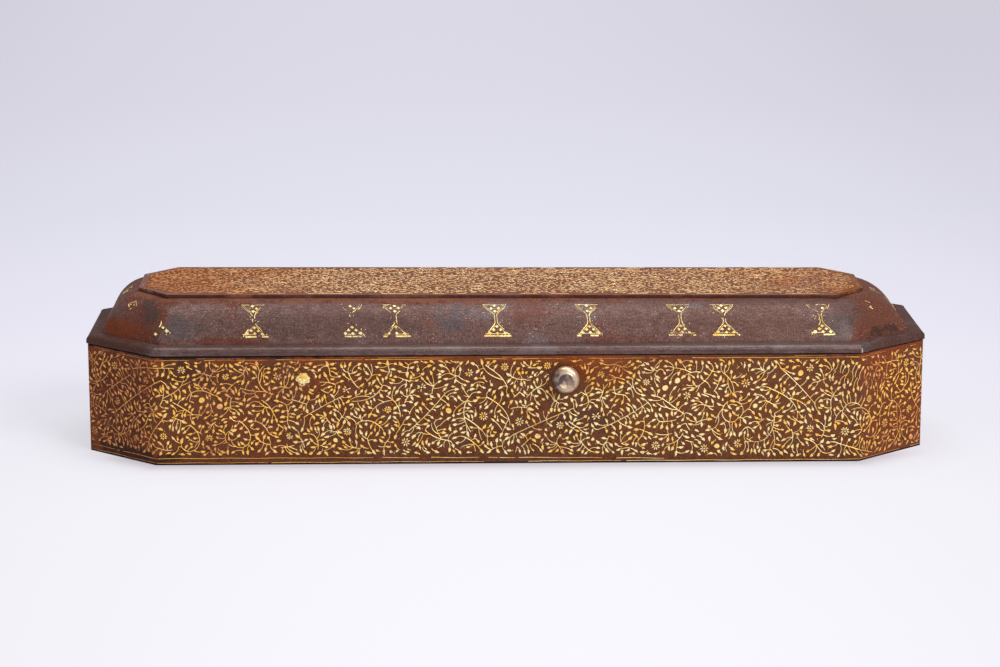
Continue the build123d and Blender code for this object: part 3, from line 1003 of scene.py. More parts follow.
class Vine:
    """A scrolling vine that grows over a plot until the plot is full."""

    def __init__(self, plot: Plot, style: VineStyle) -> None:
        """Get ready to grow on a plot, whose taken cells stay bare."""
        self.plot = plot
        self.style = style
        self.rng = np.random.default_rng(style.seed)
        self.lanes = Plot(plot.width, plot.height)
        self.lanes.taken |= plot.taken
        self.stems: list[Stem] = []
        self.marks: list[Mark] = []

    def draw(self) -> Drawing:
        """Grow the whole vine.

        Returns:
            The finished drawing.
        """
        area = self.plot.width * self.plot.height
        self._rosettes(area)
        self._round_leaves(int(area / self.style.area_per_round_leaf))
        self._long_stems(int(area / self.style.area_per_long_stem))
        self._trunks()
        self._fill()
        self._dust(int(area * self.style.dust_per_area))
        return Drawing(self.stems, self.marks)

    def _mark(self, shape: Shape, place: np.ndarray, angle: float, size: Sequence[float]) -> None:
        """Add one mark of this length and width."""
        self.marks.append(Mark(shape, np.array(place), angle, *size))

    def _inside(self, margin: float) -> np.ndarray:
        """A random point of the plot, away from its edges."""
        far = (self.plot.width - margin, self.plot.height - margin)
        return self.rng.uniform((margin, margin), far)

    def _rosettes(self, area: float) -> None:
        """Scatter rosettes: petals round a dot."""
        scale = self.style.scale
        placed: list[np.ndarray] = []
        for _ in range(int(area / 12)):
            middle = self._inside(2.2)
            radius = self.rng.uniform(1.4, 1.85) * scale
            gap = self.style.rosette_gap * self.rng.uniform(0.6, 1.3)
            if any(math.dist(middle, other) < gap for other in placed):
                continue
            if not self.plot.is_free([middle], radius + 0.4):
                continue
            placed.append(middle)
            petals = int(self.rng.integers(8, 10))
            turn = self.rng.uniform(0, math.tau)
            self._mark(Shape.DOT, middle, 0.0, (0.7 * scale, 0.7 * scale))
            for number in range(petals):
                angle = turn + math.tau * number / petals + self.rng.normal(0, 0.06)
                place = middle + towards(angle) * radius * 0.66
                self._mark(Shape.PETAL, place, angle, (radius * 0.68, 0.54 * scale))
            self.plot.take([middle], radius + 0.35)
            self.lanes.take([middle], radius + 0.2)

    def _round_leaves(self, count: int) -> None:
        """Scatter a few large round leaves."""
        for _ in range(count * 6):
            middle = self._inside(2.5)
            radius = self.rng.uniform(1.0, 1.3) * self.style.scale
            if count and self.plot.is_free([middle], radius + 0.5):
                angle = self.rng.uniform(0, math.tau)
                self._mark(Shape.ROUND, middle, angle, (2 * radius, 1.75 * radius))
                self.plot.take([middle], radius + 0.25)
                self.lanes.take([middle], radius)
                count -= 1

    def _long_stems(self, count: int) -> None:
        """Sweep a few long, thin, nearly straight stems across the rest."""
        step = self.style.step
        for _ in range(count * 8):
            if not count:
                break
            points = [self._inside(3.0)]
            heading = self.rng.choice([-1, 1], p=[0.2, 0.8]) * self.rng.uniform(0.25, 0.75)
            bend = self.rng.normal(0, 0.012)
            for _ in range(int(self.rng.uniform(18, 30) / step)):
                heading += bend * step
                ahead = points[-1] + towards(heading) * step
                if not self.lanes.is_free([ahead], 0.8):
                    break
                points.append(ahead)
            if len(points) * step > 12:
                line = np.array(points)
                self.stems.append(Stem(line, 0.13, 0.8))
                self.plot.take(line, 0.35)
                self.lanes.take(line, 1.6)
                self._leaves_along(line, chance=0.55)
                count -= 1

    def _grow(
        self, start: np.ndarray, heading: float, length: float, bend: float, own: float, lane: float
    ) -> tuple[np.ndarray, float]:
        """Grow one curved line until it is long enough or meets another.

        Args:
            start: Where it starts.
            heading: The way it starts out, in radians.
            length: Its greatest length.
            bend: Its curvature at the start, in radians per millimetre.
            own: Length of the start that may lie close to the parent stem.
            lane: Room that it keeps to other stems.

        Returns:
            Its points, and the way it heads at the end.
        """
        step = self.style.step
        points = [np.array(start, float)]
        drift = self.rng.normal(0, 0.01)
        turned = 0.0
        for number in range(int(length / step)):
            bend = float(np.clip(bend + drift * step + self.rng.normal(0, 0.006), -0.42, 0.42))
            heading += bend * step
            turned += bend * step
            ahead = points[-1] + towards(heading) * step
            grown = number * step
            if grown >= own and not self.lanes.is_free([ahead + towards(heading) * 0.5], lane):
                break
            if grown > 0.6 and not self.plot.is_free([ahead], 0.3):
                break
            if abs(turned) > 4.2:
                break
            points.append(ahead)
        return np.array(points), heading

    def _heading_at(self, line: np.ndarray, number: int) -> float:
        """The way a line heads at one of its points."""
        way = line[min(number + 1, len(line) - 1)] - line[max(number - 1, 0)]
        return math.atan2(way[1], way[0])

    def _leaf_fits(
        self, stalk: np.ndarray, heading: float, size: Sequence[float], side: int
    ) -> bool:
        """Draw a stalk with a leaf on its end, if there is room for both.

        Args:
            stalk: Points of the stalk, from its foot.
            heading: The way that the leaf points.
            size: Length and width of the leaf.
            side: 1 for a leaf that bends to the left, -1 for one that bends to the right.

        Returns:
            Whether they were drawn.
        """
        length, width = size
        tip = stalk[-1]
        middle = tip + towards(heading) * length * 0.42
        spine = np.array([tip + towards(heading) * length * share for share in (0.15, 0.45, 0.8)])
        if not self.plot.is_free(np.vstack([stalk[2:], spine]), 0.2):
            return False
        if not self.plot.is_free([middle], width / 2 + 0.14):
            return False
        self.stems.append(Stem(stalk, self.style.stalk_half_width * self.style.scale, 0.9))
        self._mark(self._leaf_shape(side), middle, heading, size)
        self.plot.take(stalk, 0.2)
        self.plot.take(spine, width / 2 + 0.1)
        return True

    @staticmethod
    def _leaf_shape(side: int) -> Shape:
        """The leaf that bends to this side."""
        return Shape.LEAF_LEFT if side > 0 else Shape.LEAF_RIGHT

    def _leaf_size(self, share: float = 1.0) -> tuple[float, float]:
        """Length and width of one leaf, at a share of the full size."""
        scale = self.style.scale * share
        length = self.rng.uniform(*self.style.leaf_length) * scale
        return length, self.rng.uniform(*self.style.leaf_width) * scale

    def _side_leaf(
        self, foot: np.ndarray, heading: float, side: int, reach: float, share: float = 1.0
    ) -> bool:
        """Draw a stalk that curves away to one side, with its leaf.

        Args:
            foot: Where the stalk leaves the stem.
            heading: The way the stem heads there.
            side: 1 for the left side, -1 for the right.
            reach: Length of the stalk.
            share: Size of the leaf as a share of the full size.

        Returns:
            Whether there was room for it.
        """
        hook = self.rng.uniform(0.5, 1.25)
        angle = heading + side * self.rng.uniform(0.35, 0.75)
        count = max(3, int(reach / 0.3))
        points = [np.array(foot, float)]
        for _ in range(count):
            angle += side * hook / count
            points.append(points[-1] + towards(angle) * reach / count)
        size = self._leaf_size(share)
        return self._leaf_fits(np.array(points), angle + side * 0.15, size, side)

    def _leaves_along(self, line: np.ndarray, chance: float = 1.0) -> None:
        """Set leaves along a line, on one side and the other in turn."""
        scale, step = self.style.scale, self.style.step
        side = int(self.rng.choice([-1, 1]))
        at = self.rng.uniform(0.6, 1.2)
        while at < (len(line) - 1) * step:
            number = int(at / step)
            heading = self._heading_at(line, number)
            if self.rng.random() < chance:
                for reach in (self.rng.uniform(1.2, 2.4), 1.4, 1.0, 0.7):
                    if self._side_leaf(line[number], heading, side, reach * scale):
                        break
            side = -side
            at += self.style.leaf_gap * self.rng.uniform(0.42, 0.62) * scale

    def _tip_leaf(self, line: np.ndarray, heading: float) -> None:
        """Set a larger leaf on the end of a line, if there is room."""
        scale = self.style.scale
        length = self.rng.uniform(1.9, 2.6) * scale
        width = self.rng.uniform(1.0, 1.3) * scale
        middle = line[-1] + towards(heading) * length * 0.45
        if self.plot.is_free([middle], width / 2 + 0.15):
            shape = self._leaf_shape(int(self.rng.choice([-1, 1])))
            self._mark(shape, middle, heading, (length, width))
            tip = line[-1] + towards(heading) * length * 0.8
            self.plot.take([middle, tip], width / 2 + 0.12)

    def _stem(
        self,
        start: np.ndarray,
        heading: float,
        length: float,
        bend: float,
        level: int = 0,
        own: float = 0.0,
        lane: float = 1.5,
    ) -> None:
        """Grow a stem with its branches and leaves.

        Args:
            start: Where it starts.
            heading: The way it starts out, in radians.
            length: Its greatest length.
            bend: Its curvature at the start.
            level: 0 for a trunk, 1 for its branches, 2 for theirs.
            own: Length of the start that may lie close to the parent stem.
            lane: Room that it keeps to other stems.
        """
        step = self.style.step
        line, end = self._grow(start, heading, length, bend, own, lane)
        grown = (len(line) - 1) * step
        if grown < 2.4:
            return
        width = self.style.stem_half_widths[level] * self.style.scale
        self.stems.append(Stem(line, width, 0.6))
        self.plot.take(line, 0.28)
        side = int(self.rng.choice([-1, 1]))
        at = self.rng.uniform(2.0, 4.0)
        while level < 2 and at < grown - 1.0:
            number = int(at / step)
            turn = side * self.rng.uniform(0.45, 0.9)
            reach = self.rng.uniform(5, 13) * (1.0 if level == 0 else 0.6)
            curl = -side * self.rng.uniform(-0.05, 0.32)
            leaving = self._heading_at(line, number) + turn
            self._stem(line[number], leaving, reach, curl, level + 1, own=2.2, lane=1.25)
            side = -side
            at += self.rng.uniform(3.2, 6.0)
        self.lanes.take(line, 1.0)
        self._tip_leaf(line, end)
        self._leaves_along(line)

    def _trunks(self) -> None:
        """Start trunks in the widest open places first."""
        for lane in (4.2, 3.4, 2.8, 2.3, 1.9, 1.6):
            spots = self.rng.permutation(self.lanes.open_spots(lane))
            for spot in spots[: int(len(spots) * 0.3) + 5]:
                if not self.lanes.is_free([spot], lane):
                    continue
                bend = self.rng.choice([-1, 1]) * self.rng.uniform(0.03, 0.2)
                heading = self.rng.uniform(0, math.tau)
                self._stem(spot, heading, self.rng.uniform(12, 34), bend, lane=min(lane, 1.5))
                self.lanes.take([spot], 0.8)

    def _fill(self) -> None:
        """Fill what is left with leaves on stalks, from the widest gaps to the smallest."""
        feet = np.vstack([stem.points[::2] for stem in self.stems])
        for room in (2.0, 1.7, 1.4, 1.2, 1.0, 0.85, 0.75):
            share = min(1.0, room + 0.12)
            for spot in self.rng.permutation(self.plot.open_spots(room)):
                if not self.plot.is_free([spot], room) or self._reach_out(spot, feet, share):
                    continue
                for _ in range(3):
                    reach = self.rng.uniform(0.7, 1.6) * min(room, 1.4)
                    heading = self.rng.uniform(0, math.tau)
                    side = int(self.rng.choice([-1, 1]))
                    foot = spot - towards(heading) * reach * 0.6
                    if self._side_leaf(foot, heading, side, reach, share):
                        break

    def _dust(self, count: int) -> None:
        """Scatter specks of gold, left where thin strokes have rubbed away."""
        for _ in range(count):
            size = self.rng.uniform(0.15, 0.4)
            angle = self.rng.uniform(0, math.tau)
            self._mark(Shape.DOT, self._inside(0.3), angle, (size, size * 0.7))

    def _reach_out(self, spot: np.ndarray, feet: np.ndarray, share: float) -> bool:
        """Draw a long curved stalk from a stem nearby, with its leaf in a free spot.

        Args:
            spot: The free spot.
            feet: Points of all stems.
            share: Size of the leaf as a share of the full size.

        Returns:
            Whether there was room for it.
        """
        away = np.hypot(*(spot - feet).T)
        near = np.argwhere((away > 1.3) & (away < 4.5)).ravel()
        size = self._leaf_size(share)
        for number in near[np.argsort(away[near])][:12:3]:
            foot = feet[number]
            way = spot - foot
            swing = self.rng.choice([-1, 1]) * self.rng.uniform(0.1, 0.35)
            handle = foot + way / 2 + np.array([-way[1], way[0]]) * swing
            share_along = np.linspace(0, 1, 8)[:, None]
            near_foot = foot * (1 - share_along) ** 2
            stalk = near_foot + handle * 2 * share_along * (1 - share_along)
            stalk = stalk + spot * share_along**2
            side = -1 if swing > 0 else 1
            if self._leaf_fits(stalk, self._heading_at(stalk, 7), size, side):
                return True
        return False


class Stamp:
    """A raised shape of unit length and width that is pressed into a mesh many times."""

    def __init__(self, shape: Shape) -> None:
        """Make the shape: a plate with sloping sides, its base below the surface."""
        corners, point, bend = shape.value
        bm = bmesh.new()
        bmesh.ops.create_circle(bm, cap_ends=True, segments=corners, radius=0.5)
        for vert in bm.verts:
            vert.co.y *= 1 - point * (vert.co.x + 0.08)
            vert.co.y += bend * (vert.co.x * vert.co.x - 0.1)
            vert.co.z = -1
        lower = list(bm.verts)
        bmesh.ops.extrude_face_region(bm, geom=list(bm.faces))
        upper = [vert for vert in bm.verts if vert not in lower]
        bmesh.ops.scale(bm, vec=(0.92, 0.9, -1), verts=upper)
        bmesh.ops.recalc_face_normals(bm, faces=bm.faces)
        self.mesh = bpy.data.meshes.new(shape.name)
        bm.to_mesh(self.mesh)
        bm.free()

    def press(self, bm: bmesh.types.BMesh, mark: Mark, height: float) -> None:
        """Add the shape to a mesh at a mark, this high over the surface and as deep below."""
        start = len(bm.verts)
        bm.from_mesh(self.mesh)
        bm.verts.ensure_lookup_table()
        cosine, sine = math.cos(mark.angle), math.sin(mark.angle)
        for vert in bm.verts[start:]:
            along, across, up = vert.co
            along *= mark.length
            across *= mark.width
            vert.co = (
                mark.place[0] + along * cosine - across * sine,
                mark.place[1] + along * sine + across * cosine,
                up * height,
            )


class Goldsmith:
    """Turns flat drawings into gold on a surface."""

    def __init__(self, height: float = 0.06) -> None:
        """Get the stamps ready; height is the gold's height over the steel."""
        self.height = height
        self.stamps = {shape: Stamp(shape) for shape in Shape}

    def _wires(self, stems: Sequence[Stem]) -> bpy.types.Mesh:
        """Mesh of the wires along these stems, lying in the flat."""
        curve = bpy.data.curves.new("wires", "CURVE")
        curve.dimensions = "3D"
        curve.twist_mode = "Z_UP"
        curve.bevel_depth = 1.0
        curve.bevel_resolution = 0
        curve.use_fill_caps = True
        for stem in stems:
            count = len(stem.points)
            spline = curve.splines.new("POLY")
            spline.points.add(count - 1)
            places = np.column_stack([stem.points, np.zeros(count), np.ones(count)])
            widths = stem.half_width * np.linspace(1.0, stem.tip_share, count)
            spline.points.foreach_set("co", places.astype(np.float32).ravel())
            spline.points.foreach_set("radius", widths.astype(np.float32))
        holder = bpy.data.objects.new("wires", curve)
        mesh = bpy.data.meshes.new_from_object(holder)
        bpy.data.objects.remove(holder)
        bpy.data.curves.remove(curve)
        return mesh

    def lay(
        self, drawing: Drawing, surface: Callable[[np.ndarray], np.ndarray]
    ) -> bmesh.types.BMesh:
        """Lay a drawing on a surface.

        Args:
            drawing: The flat drawing.
            surface: Gives the places on the box of rows of (along, across, height).

        Returns:
            The gold's mesh in millimetres.
        """
        bm = bmesh.new()
        if drawing.stems:
            wires = self._wires(drawing.stems)
            bm.from_mesh(wires)
            bpy.data.meshes.remove(wires)
            for vert in bm.verts:
                vert.co.z = self.height * max(-1.0, min(1.0, vert.co.z * 20))
        for mark in drawing.marks:
            self.stamps[mark.shape].press(bm, mark, self.height)
        flat = np.array([vert.co for vert in bm.verts])
        for vert, place in zip(bm.verts, surface(flat)):
            vert.co = place
        bmesh.ops.recalc_face_normals(bm, faces=bm.faces)
        return bm


# The shape of the box
SIDE_NAMES = (
    "right", "back_right", "back", "back_left", "left", "front_left", "front", "front_right",
)


@dataclass(frozen=True)
class Octagon:
    """A long eight-sided plan; side n lies between corners n - 1 and n."""

    length: float
    width: float
    corner_length: float
    corner_width: float

    def side_angles(self) -> list[float]:
        """The way each side faces, counter-clockwise from the right end."""
        turn = math.atan2(self.corner_length, self.corner_width)
        half = [0.0, turn, math.pi / 2, math.pi - turn]
        return half + [angle + math.pi for angle in half]

    def turn_at(self, number: int) -> float:
        """How much the outline turns at a corner."""
        angles = self.side_angles()
        return (angles[(number + 1) % 8] - angles[number]) % math.tau

    def corners(self, inset: float) -> np.ndarray:
        """Corners of the outline set in by a distance."""
        x = self.length / 2 - inset
        y = self.width / 2 - inset
        turn = self.side_angles()[1]
        cut_y = self.corner_width - inset * (1 - math.tan(turn / 2))
        cut_x = self.corner_length - inset * (1 - math.tan(math.pi / 4 - turn / 2))
        quarter = [(x, y - cut_y), (x - cut_x, y)]
        half = quarter + [(-a, b) for a, b in reversed(quarter)]
        return np.array(half + [(-a, -b) for a, b in half])

    def depth(self, points: np.ndarray) -> np.ndarray:
        """How far points lie inside the outline; negative outside it."""
        corners = self.corners(0.0)
        faces = np.array([towards(angle) for angle in self.side_angles()])
        reach = (corners * faces).sum(axis=1)
        return (reach - points @ faces.T).min(axis=1)

    def ring(self, inset: float, radius: float, pitch: float) -> np.ndarray:
        """Points round the outline, whose number doesn't depend on inset or radius.

        Args:
            inset: How far the outline is set in.
            radius: Radius of its rounded corners.
            pitch: Rough distance between points on the flats.

        Returns:
            The points, from the first corner on.
        """
        corners = self.corners(inset)
        full = self.corners(0.0)
        angles = self.side_angles()
        points = []
        for number in range(8):
            turn = self.turn_at(number)
            next_turn = self.turn_at((number + 1) % 8)
            start = corners[number]
            end = corners[(number + 1) % 8]
            run = towards(angles[(number + 1) % 8] + math.pi / 2)
            face = towards(angles[(number + 1) % 8])
            arc_end = start + run * radius * math.tan(turn / 2)
            middle = arc_end - face * radius
            for share in np.linspace(0, 1, 5):
                points.append(middle + radius * towards(angles[number] + turn * share))
            flat_end = end - run * radius * math.tan(next_turn / 2)
            count = int(math.dist(full[number], full[(number + 1) % 8]) / pitch)
            for share in np.arange(1, count) / count:
                points.append(arc_end + (flat_end - arc_end) * share)
        return np.array(points)


BODY_PLAN = Octagon(length=300.0, width=92.0, corner_length=25.5, corner_width=22.5)
PLATE_PLAN = Octagon(length=262.0, width=51.0, corner_length=11.3, corner_width=13.5)


def hammered(place: Sequence[float], depth: float, lump: float = 11.0) -> float:
    """How far handwork has left the steel under its true surface at a place.

    Args:
        place: A place on the box in millimetres.
        depth: Depth of the deepest hollows.
        lump: Size of the hollows.

    Returns:
        A depth of 0 or more.
    """
    return depth * (0.5 + 0.5 * noise.noise(Vector(place) / lump))


class WallStrip:
    """Lays a flat strip round the outside of the body, over its rounded corners."""

    first_side: int = 3
    bend_radius: float = 1.2

    def __init__(self) -> None:
        """Measure the flats and the bends, starting at the back left side."""
        self.flats: list[tuple[float, float, np.ndarray, np.ndarray]] = []
        self.bends: list[tuple[float, float, np.ndarray, float]] = []
        self.spans: dict[str, tuple[float, float]] = {}
        angles = BODY_PLAN.side_angles()
        corners = BODY_PLAN.corners(0.0)
        along = 0.0
        for step in range(8):
            side = (self.first_side + step) % 8
            face = towards(angles[side])
            run = towards(angles[side] + math.pi / 2)
            turn_after = BODY_PLAN.turn_at(side)
            turn_before = BODY_PLAN.turn_at(side - 1)
            start = corners[side - 1] + run * self.bend_radius * math.tan(turn_before / 2)
            end = corners[side] - run * self.bend_radius * math.tan(turn_after / 2)
            flat_end = along + float(math.dist(start, end))
            bend_end = flat_end + self.bend_radius * turn_after
            self.flats.append((along, flat_end, start, face))
            self.bends.append((flat_end, bend_end, end - face * self.bend_radius, angles[side]))
            self.spans[SIDE_NAMES[side]] = (along, bend_end)
            along = bend_end
        self.girth = along

    def place(self, rows: np.ndarray) -> np.ndarray:
        """Places on the wall of rows of (along, up, out)."""
        along = rows[:, 0] % self.girth
        placed = np.zeros_like(rows)
        placed[:, 2] = rows[:, 1]
        for start, end, corner, face in self.flats:
            on = (along >= start) & (along <= end)
            run = np.array([-face[1], face[0]])
            placed[on, :2] = corner + (along[on, None] - start) * run + rows[on, 2:] * face
        for start, end, middle, angle in self.bends:
            on = (along > start) & (along < end)
            facing = angle + (along[on] - start) / self.bend_radius
            out = (self.bend_radius + rows[on, 2])[:, None]
            placed[on, :2] = middle + out * np.column_stack([np.cos(facing), np.sin(facing)])
        return placed


@dataclass(frozen=True)
class DomeCurve:
    """Section of the lid's dome: an arc of an ellipse from the rim up to the plate."""

    foot_inset: float = 4.8
    foot_height: float = 42.5
    top_inset: float = 21.0
    top_height: float = 56.3
    start_angle: float = math.radians(25)
    sheet: float = 1.2

    def arc(self, shrink: float = 0.0, count: int = 25) -> tuple[np.ndarray, np.ndarray]:
        """Insets and heights along the arc, from its foot up.

        Args:
            shrink: How far the arc lies inside the outer surface.
            count: Number of points.

        Returns:
            The insets and the heights.
        """
        width = (self.top_inset - self.foot_inset) / math.cos(self.start_angle)
        height = (self.top_height - self.foot_height) / (1 - math.sin(self.start_angle))
        angle = np.linspace(self.start_angle, math.pi / 2, count)
        insets = self.top_inset - (width - shrink) * np.cos(angle)
        return insets, self.top_height - height + (height - shrink) * np.sin(angle)


class DomeSide:
    """Lays a flat drawing on one side of the dome: across the side, and up from its foot."""

    def __init__(self, curve: DomeCurve, side: int, dents: float) -> None:
        """Measure the curve and find the side; dents is the depth of the dome's hollows."""
        self.dents = dents
        self.insets, self.heights = curve.arc(count=120)
        steps = np.hypot(np.diff(self.insets), np.diff(self.heights))
        self.up = np.concatenate([[0.0], steps.cumsum()])
        self.face = towards(BODY_PLAN.side_angles()[side])
        corners = BODY_PLAN.corners(0.0)
        self.middle = (corners[side - 1] + corners[side]) / 2

    def place(self, rows: np.ndarray) -> np.ndarray:
        """Places on the dome of rows of (across, up, out)."""
        across, up, out = rows.T
        inset = np.interp(up, self.up, self.insets)
        height = np.interp(up, self.up, self.heights)
        rise = np.interp(up, self.up, np.gradient(self.insets, self.up))
        lean = np.interp(up, self.up, np.gradient(self.heights, self.up))
        run = np.array([-self.face[1], self.face[0]])
        level = self.middle + across[:, None] * run - inset[:, None] * self.face
        surface = np.column_stack([level, height])
        dents = np.array([hammered(spot, self.dents) for spot in surface])
        out = out - dents
        return surface + np.column_stack([self.face * (out * lean)[:, None], out * rise])


# Pieces of the box
ALONG = Vector((1, 0, 0))
ACROSS = Vector((0, 1, 0))
UP = Vector((0, 0, 1))


def prism(bm: bmesh.types.BMesh, plan: Octagon, low: float, high: float) -> None:
    """Add a flat-topped block with this plan between two heights."""
    bmesh.ops.create_circle(bm, cap_ends=True, segments=8, radius=1.0)
    for vert, corner in zip(bm.verts, plan.corners(0.0)):
        vert.co = (*corner, low)
    lower = list(bm.verts)
    bmesh.ops.extrude_face_region(bm, geom=list(bm.faces))
    for vert in bm.verts:
        if vert not in lower:
            vert.co.z = high
    bmesh.ops.recalc_face_normals(bm, faces=bm.faces)


def cut_across(bm: bmesh.types.BMesh, axis: Vector, places: np.ndarray) -> None:
    """Cut a mesh at places along an axis, so that it can be made uneven."""
    for at in places:
        geometry = list(bm.verts) + list(bm.edges) + list(bm.faces)
        bmesh.ops.bisect_plane(bm, geom=geometry, plane_co=axis * at, plane_no=axis)


def closed_shell(rings: np.ndarray) -> bmesh.types.BMesh:
    """Mesh through rings of points, closed both round each ring and from last to first.

    Args:
        rings: Places, by ring and by point.

    Returns:
        The mesh.
    """
    count, around = rings.shape[:2]
    bm = bmesh.new()
    bmesh.ops.create_grid(bm, x_segments=around, y_segments=count, size=1.0)
    for vert in bm.verts:
        column = round((vert.co.x + 1) / 2 * around) % around
        row = round((vert.co.y + 1) / 2 * count) % count
        vert.co = rings[row, column]
    bmesh.ops.remove_doubles(bm, verts=bm.verts, dist=0.0001)
    bmesh.ops.recalc_face_normals(bm, faces=bm.faces)
    return bm


def worn_away(drawing: Drawing, seed: int, share: float = 0.03) -> Drawing:
    """A drawing without the parts that have rubbed off.

    Args:
        drawing: The whole drawing.
        seed: Which patches and which single leaves are gone.
        share: Share of single leaves and stems that are gone everywhere.

    Returns:
        What is left of it.
    """
    rng = np.random.default_rng(seed)

    def stays(place: np.ndarray) -> bool:
        """Whether the gold at a place is still there."""
        patch = noise.noise(Vector((place[0] / 7, place[1] / 5, seed)))
        return rng.random() > share + 0.5 * max(0.0, patch - 0.3)

    return Drawing(
        [stem for stem in drawing.stems if stays(stem.middle())],
        [mark for mark in drawing.marks if stays(mark.place)],
    )


def broken_line(
    points: np.ndarray, width: float, wear: float, rng: np.random.Generator
) -> list[Stem]:
    """Parts of a line that are left when some of it has rubbed off.

    Args:
        points: The whole line.
        width: Half of its width.
        wear: Share of it that is gone.
        rng: Source of chance.

    Returns:
        The parts that are left.
    """
    stems = []
    at = 0
    while at < len(points) - 1:
        length = int(rng.integers(3, 9))
        part = points[at : at + length + 1]
        if rng.random() > wear and len(part) > 1:
            stems.append(Stem(part, width * rng.uniform(0.8, 1.15), 0.9))
        at += length
    return stems


@dataclass
class Walls:
    """The body: its steel and the vine round it."""

    ground_bottom: float = 3.4
    ground_top: float = 37.6
    ruled_lines: tuple[tuple[float, float, float, float], ...] = (
        (0.75, 0.09, 30.0, 4.0),
        (2.4, 0.1, 30.0, 2.0),
        (37.95, 0.1, 16.0, 5.0),
        (38.5, 0.06, 8.0, 16.0),
    )
    bare_from: float = 55.0
    drift: float = 2.4
    button_x: float = 20.2
    stud_x: float = -72.0
    latch_height: float = 31.0
    bare_round_button: float = 5.6
    bare_round_stud: float = 3.0

    def build(self, smith: Goldsmith) -> None:
        """Dress the wall and the base, and lay the vine."""
        dress(WALL_STEEL.material(), "body_wall")
        dress(INNER_STEEL.material(), "base_plate")
        strip = WallStrip()
        plot = Plot(strip.girth, self.ground_top - self.ground_bottom)
        front_middle = strip.spans["front"][0] + BODY_PLAN.length / 2 - BODY_PLAN.corner_length
        spots = ((self.button_x, self.bare_round_button), (self.stud_x, self.bare_round_stud))
        for x, radius in spots:
            up = self.latch_height - self.ground_bottom
            plot.take([(front_middle + x, up)], radius)
        drawing = worn_away(Vine(plot, VineStyle(seed=11, scale=0.93)).draw(), seed=3)
        drawing = drawing.moved((0.0, self.ground_bottom))
        drawing.stems += self._ruled_lines(strip)
        gold = WALL_GOLD.material()
        for side, (start, end) in strip.spans.items():
            bm = smith.lay(
                drawing.part(start, end), lambda rows: strip.place(self._drifted(strip, rows))
            )
            make_piece(bm, f"gold_vine_{side}", gold, "case")

    def _drifted(self, strip: WallStrip, rows: np.ndarray) -> np.ndarray:
        """Let the foot of the drawing sink towards the right of the front, as it was laid.

        Args:
            strip: Where each side lies along the strip.
            rows: Rows of (along, up, out).

        Returns:
            The rows with their heights lowered.
        """
        front, corner, end = (strip.spans[side] for side in ("front", "front_right", "right"))
        share = np.interp(rows[:, 0], [*front, corner[1], end[1]], [0.0, 1.0, 1.0, 0.0])
        up = rows[:, 1]
        low = np.clip((up - 0.9) / 1.2, 0, 1) * np.clip(1 - up / self.ground_top, 0, 1)
        return rows - np.column_stack([0 * up, self.drift * share**3 * low, 0 * up])

    def _ruled_lines(self, strip: WallStrip) -> list[Stem]:
        """The thin ruled lines along the top and bottom, broken where they are worn."""
        rng = np.random.default_rng(21)
        lines = []
        front = strip.spans["front"]
        bare_start = sum(front) / 2 + self.bare_from
        bare_end = strip.spans["front_right"][1]
        for height, width, run, gap in self.ruled_lines:
            at = 0.0
            while at < strip.girth - 1:
                end = min(at + 1.5 + rng.exponential(run), strip.girth - 0.5)
                along = np.arange(at, end, 0.8)
                if 1 < height < self.ground_bottom:
                    along = along[along < bare_start if at < bare_start else along > bare_end]
                if len(along) > 2:
                    wave = height + 0.07 * np.sin(along * 0.35 + height * 9)
                    lines.append(Stem(np.column_stack([along, wave]), width, 0.6))
                at = end + rng.exponential(gap) + 0.2
        return lines


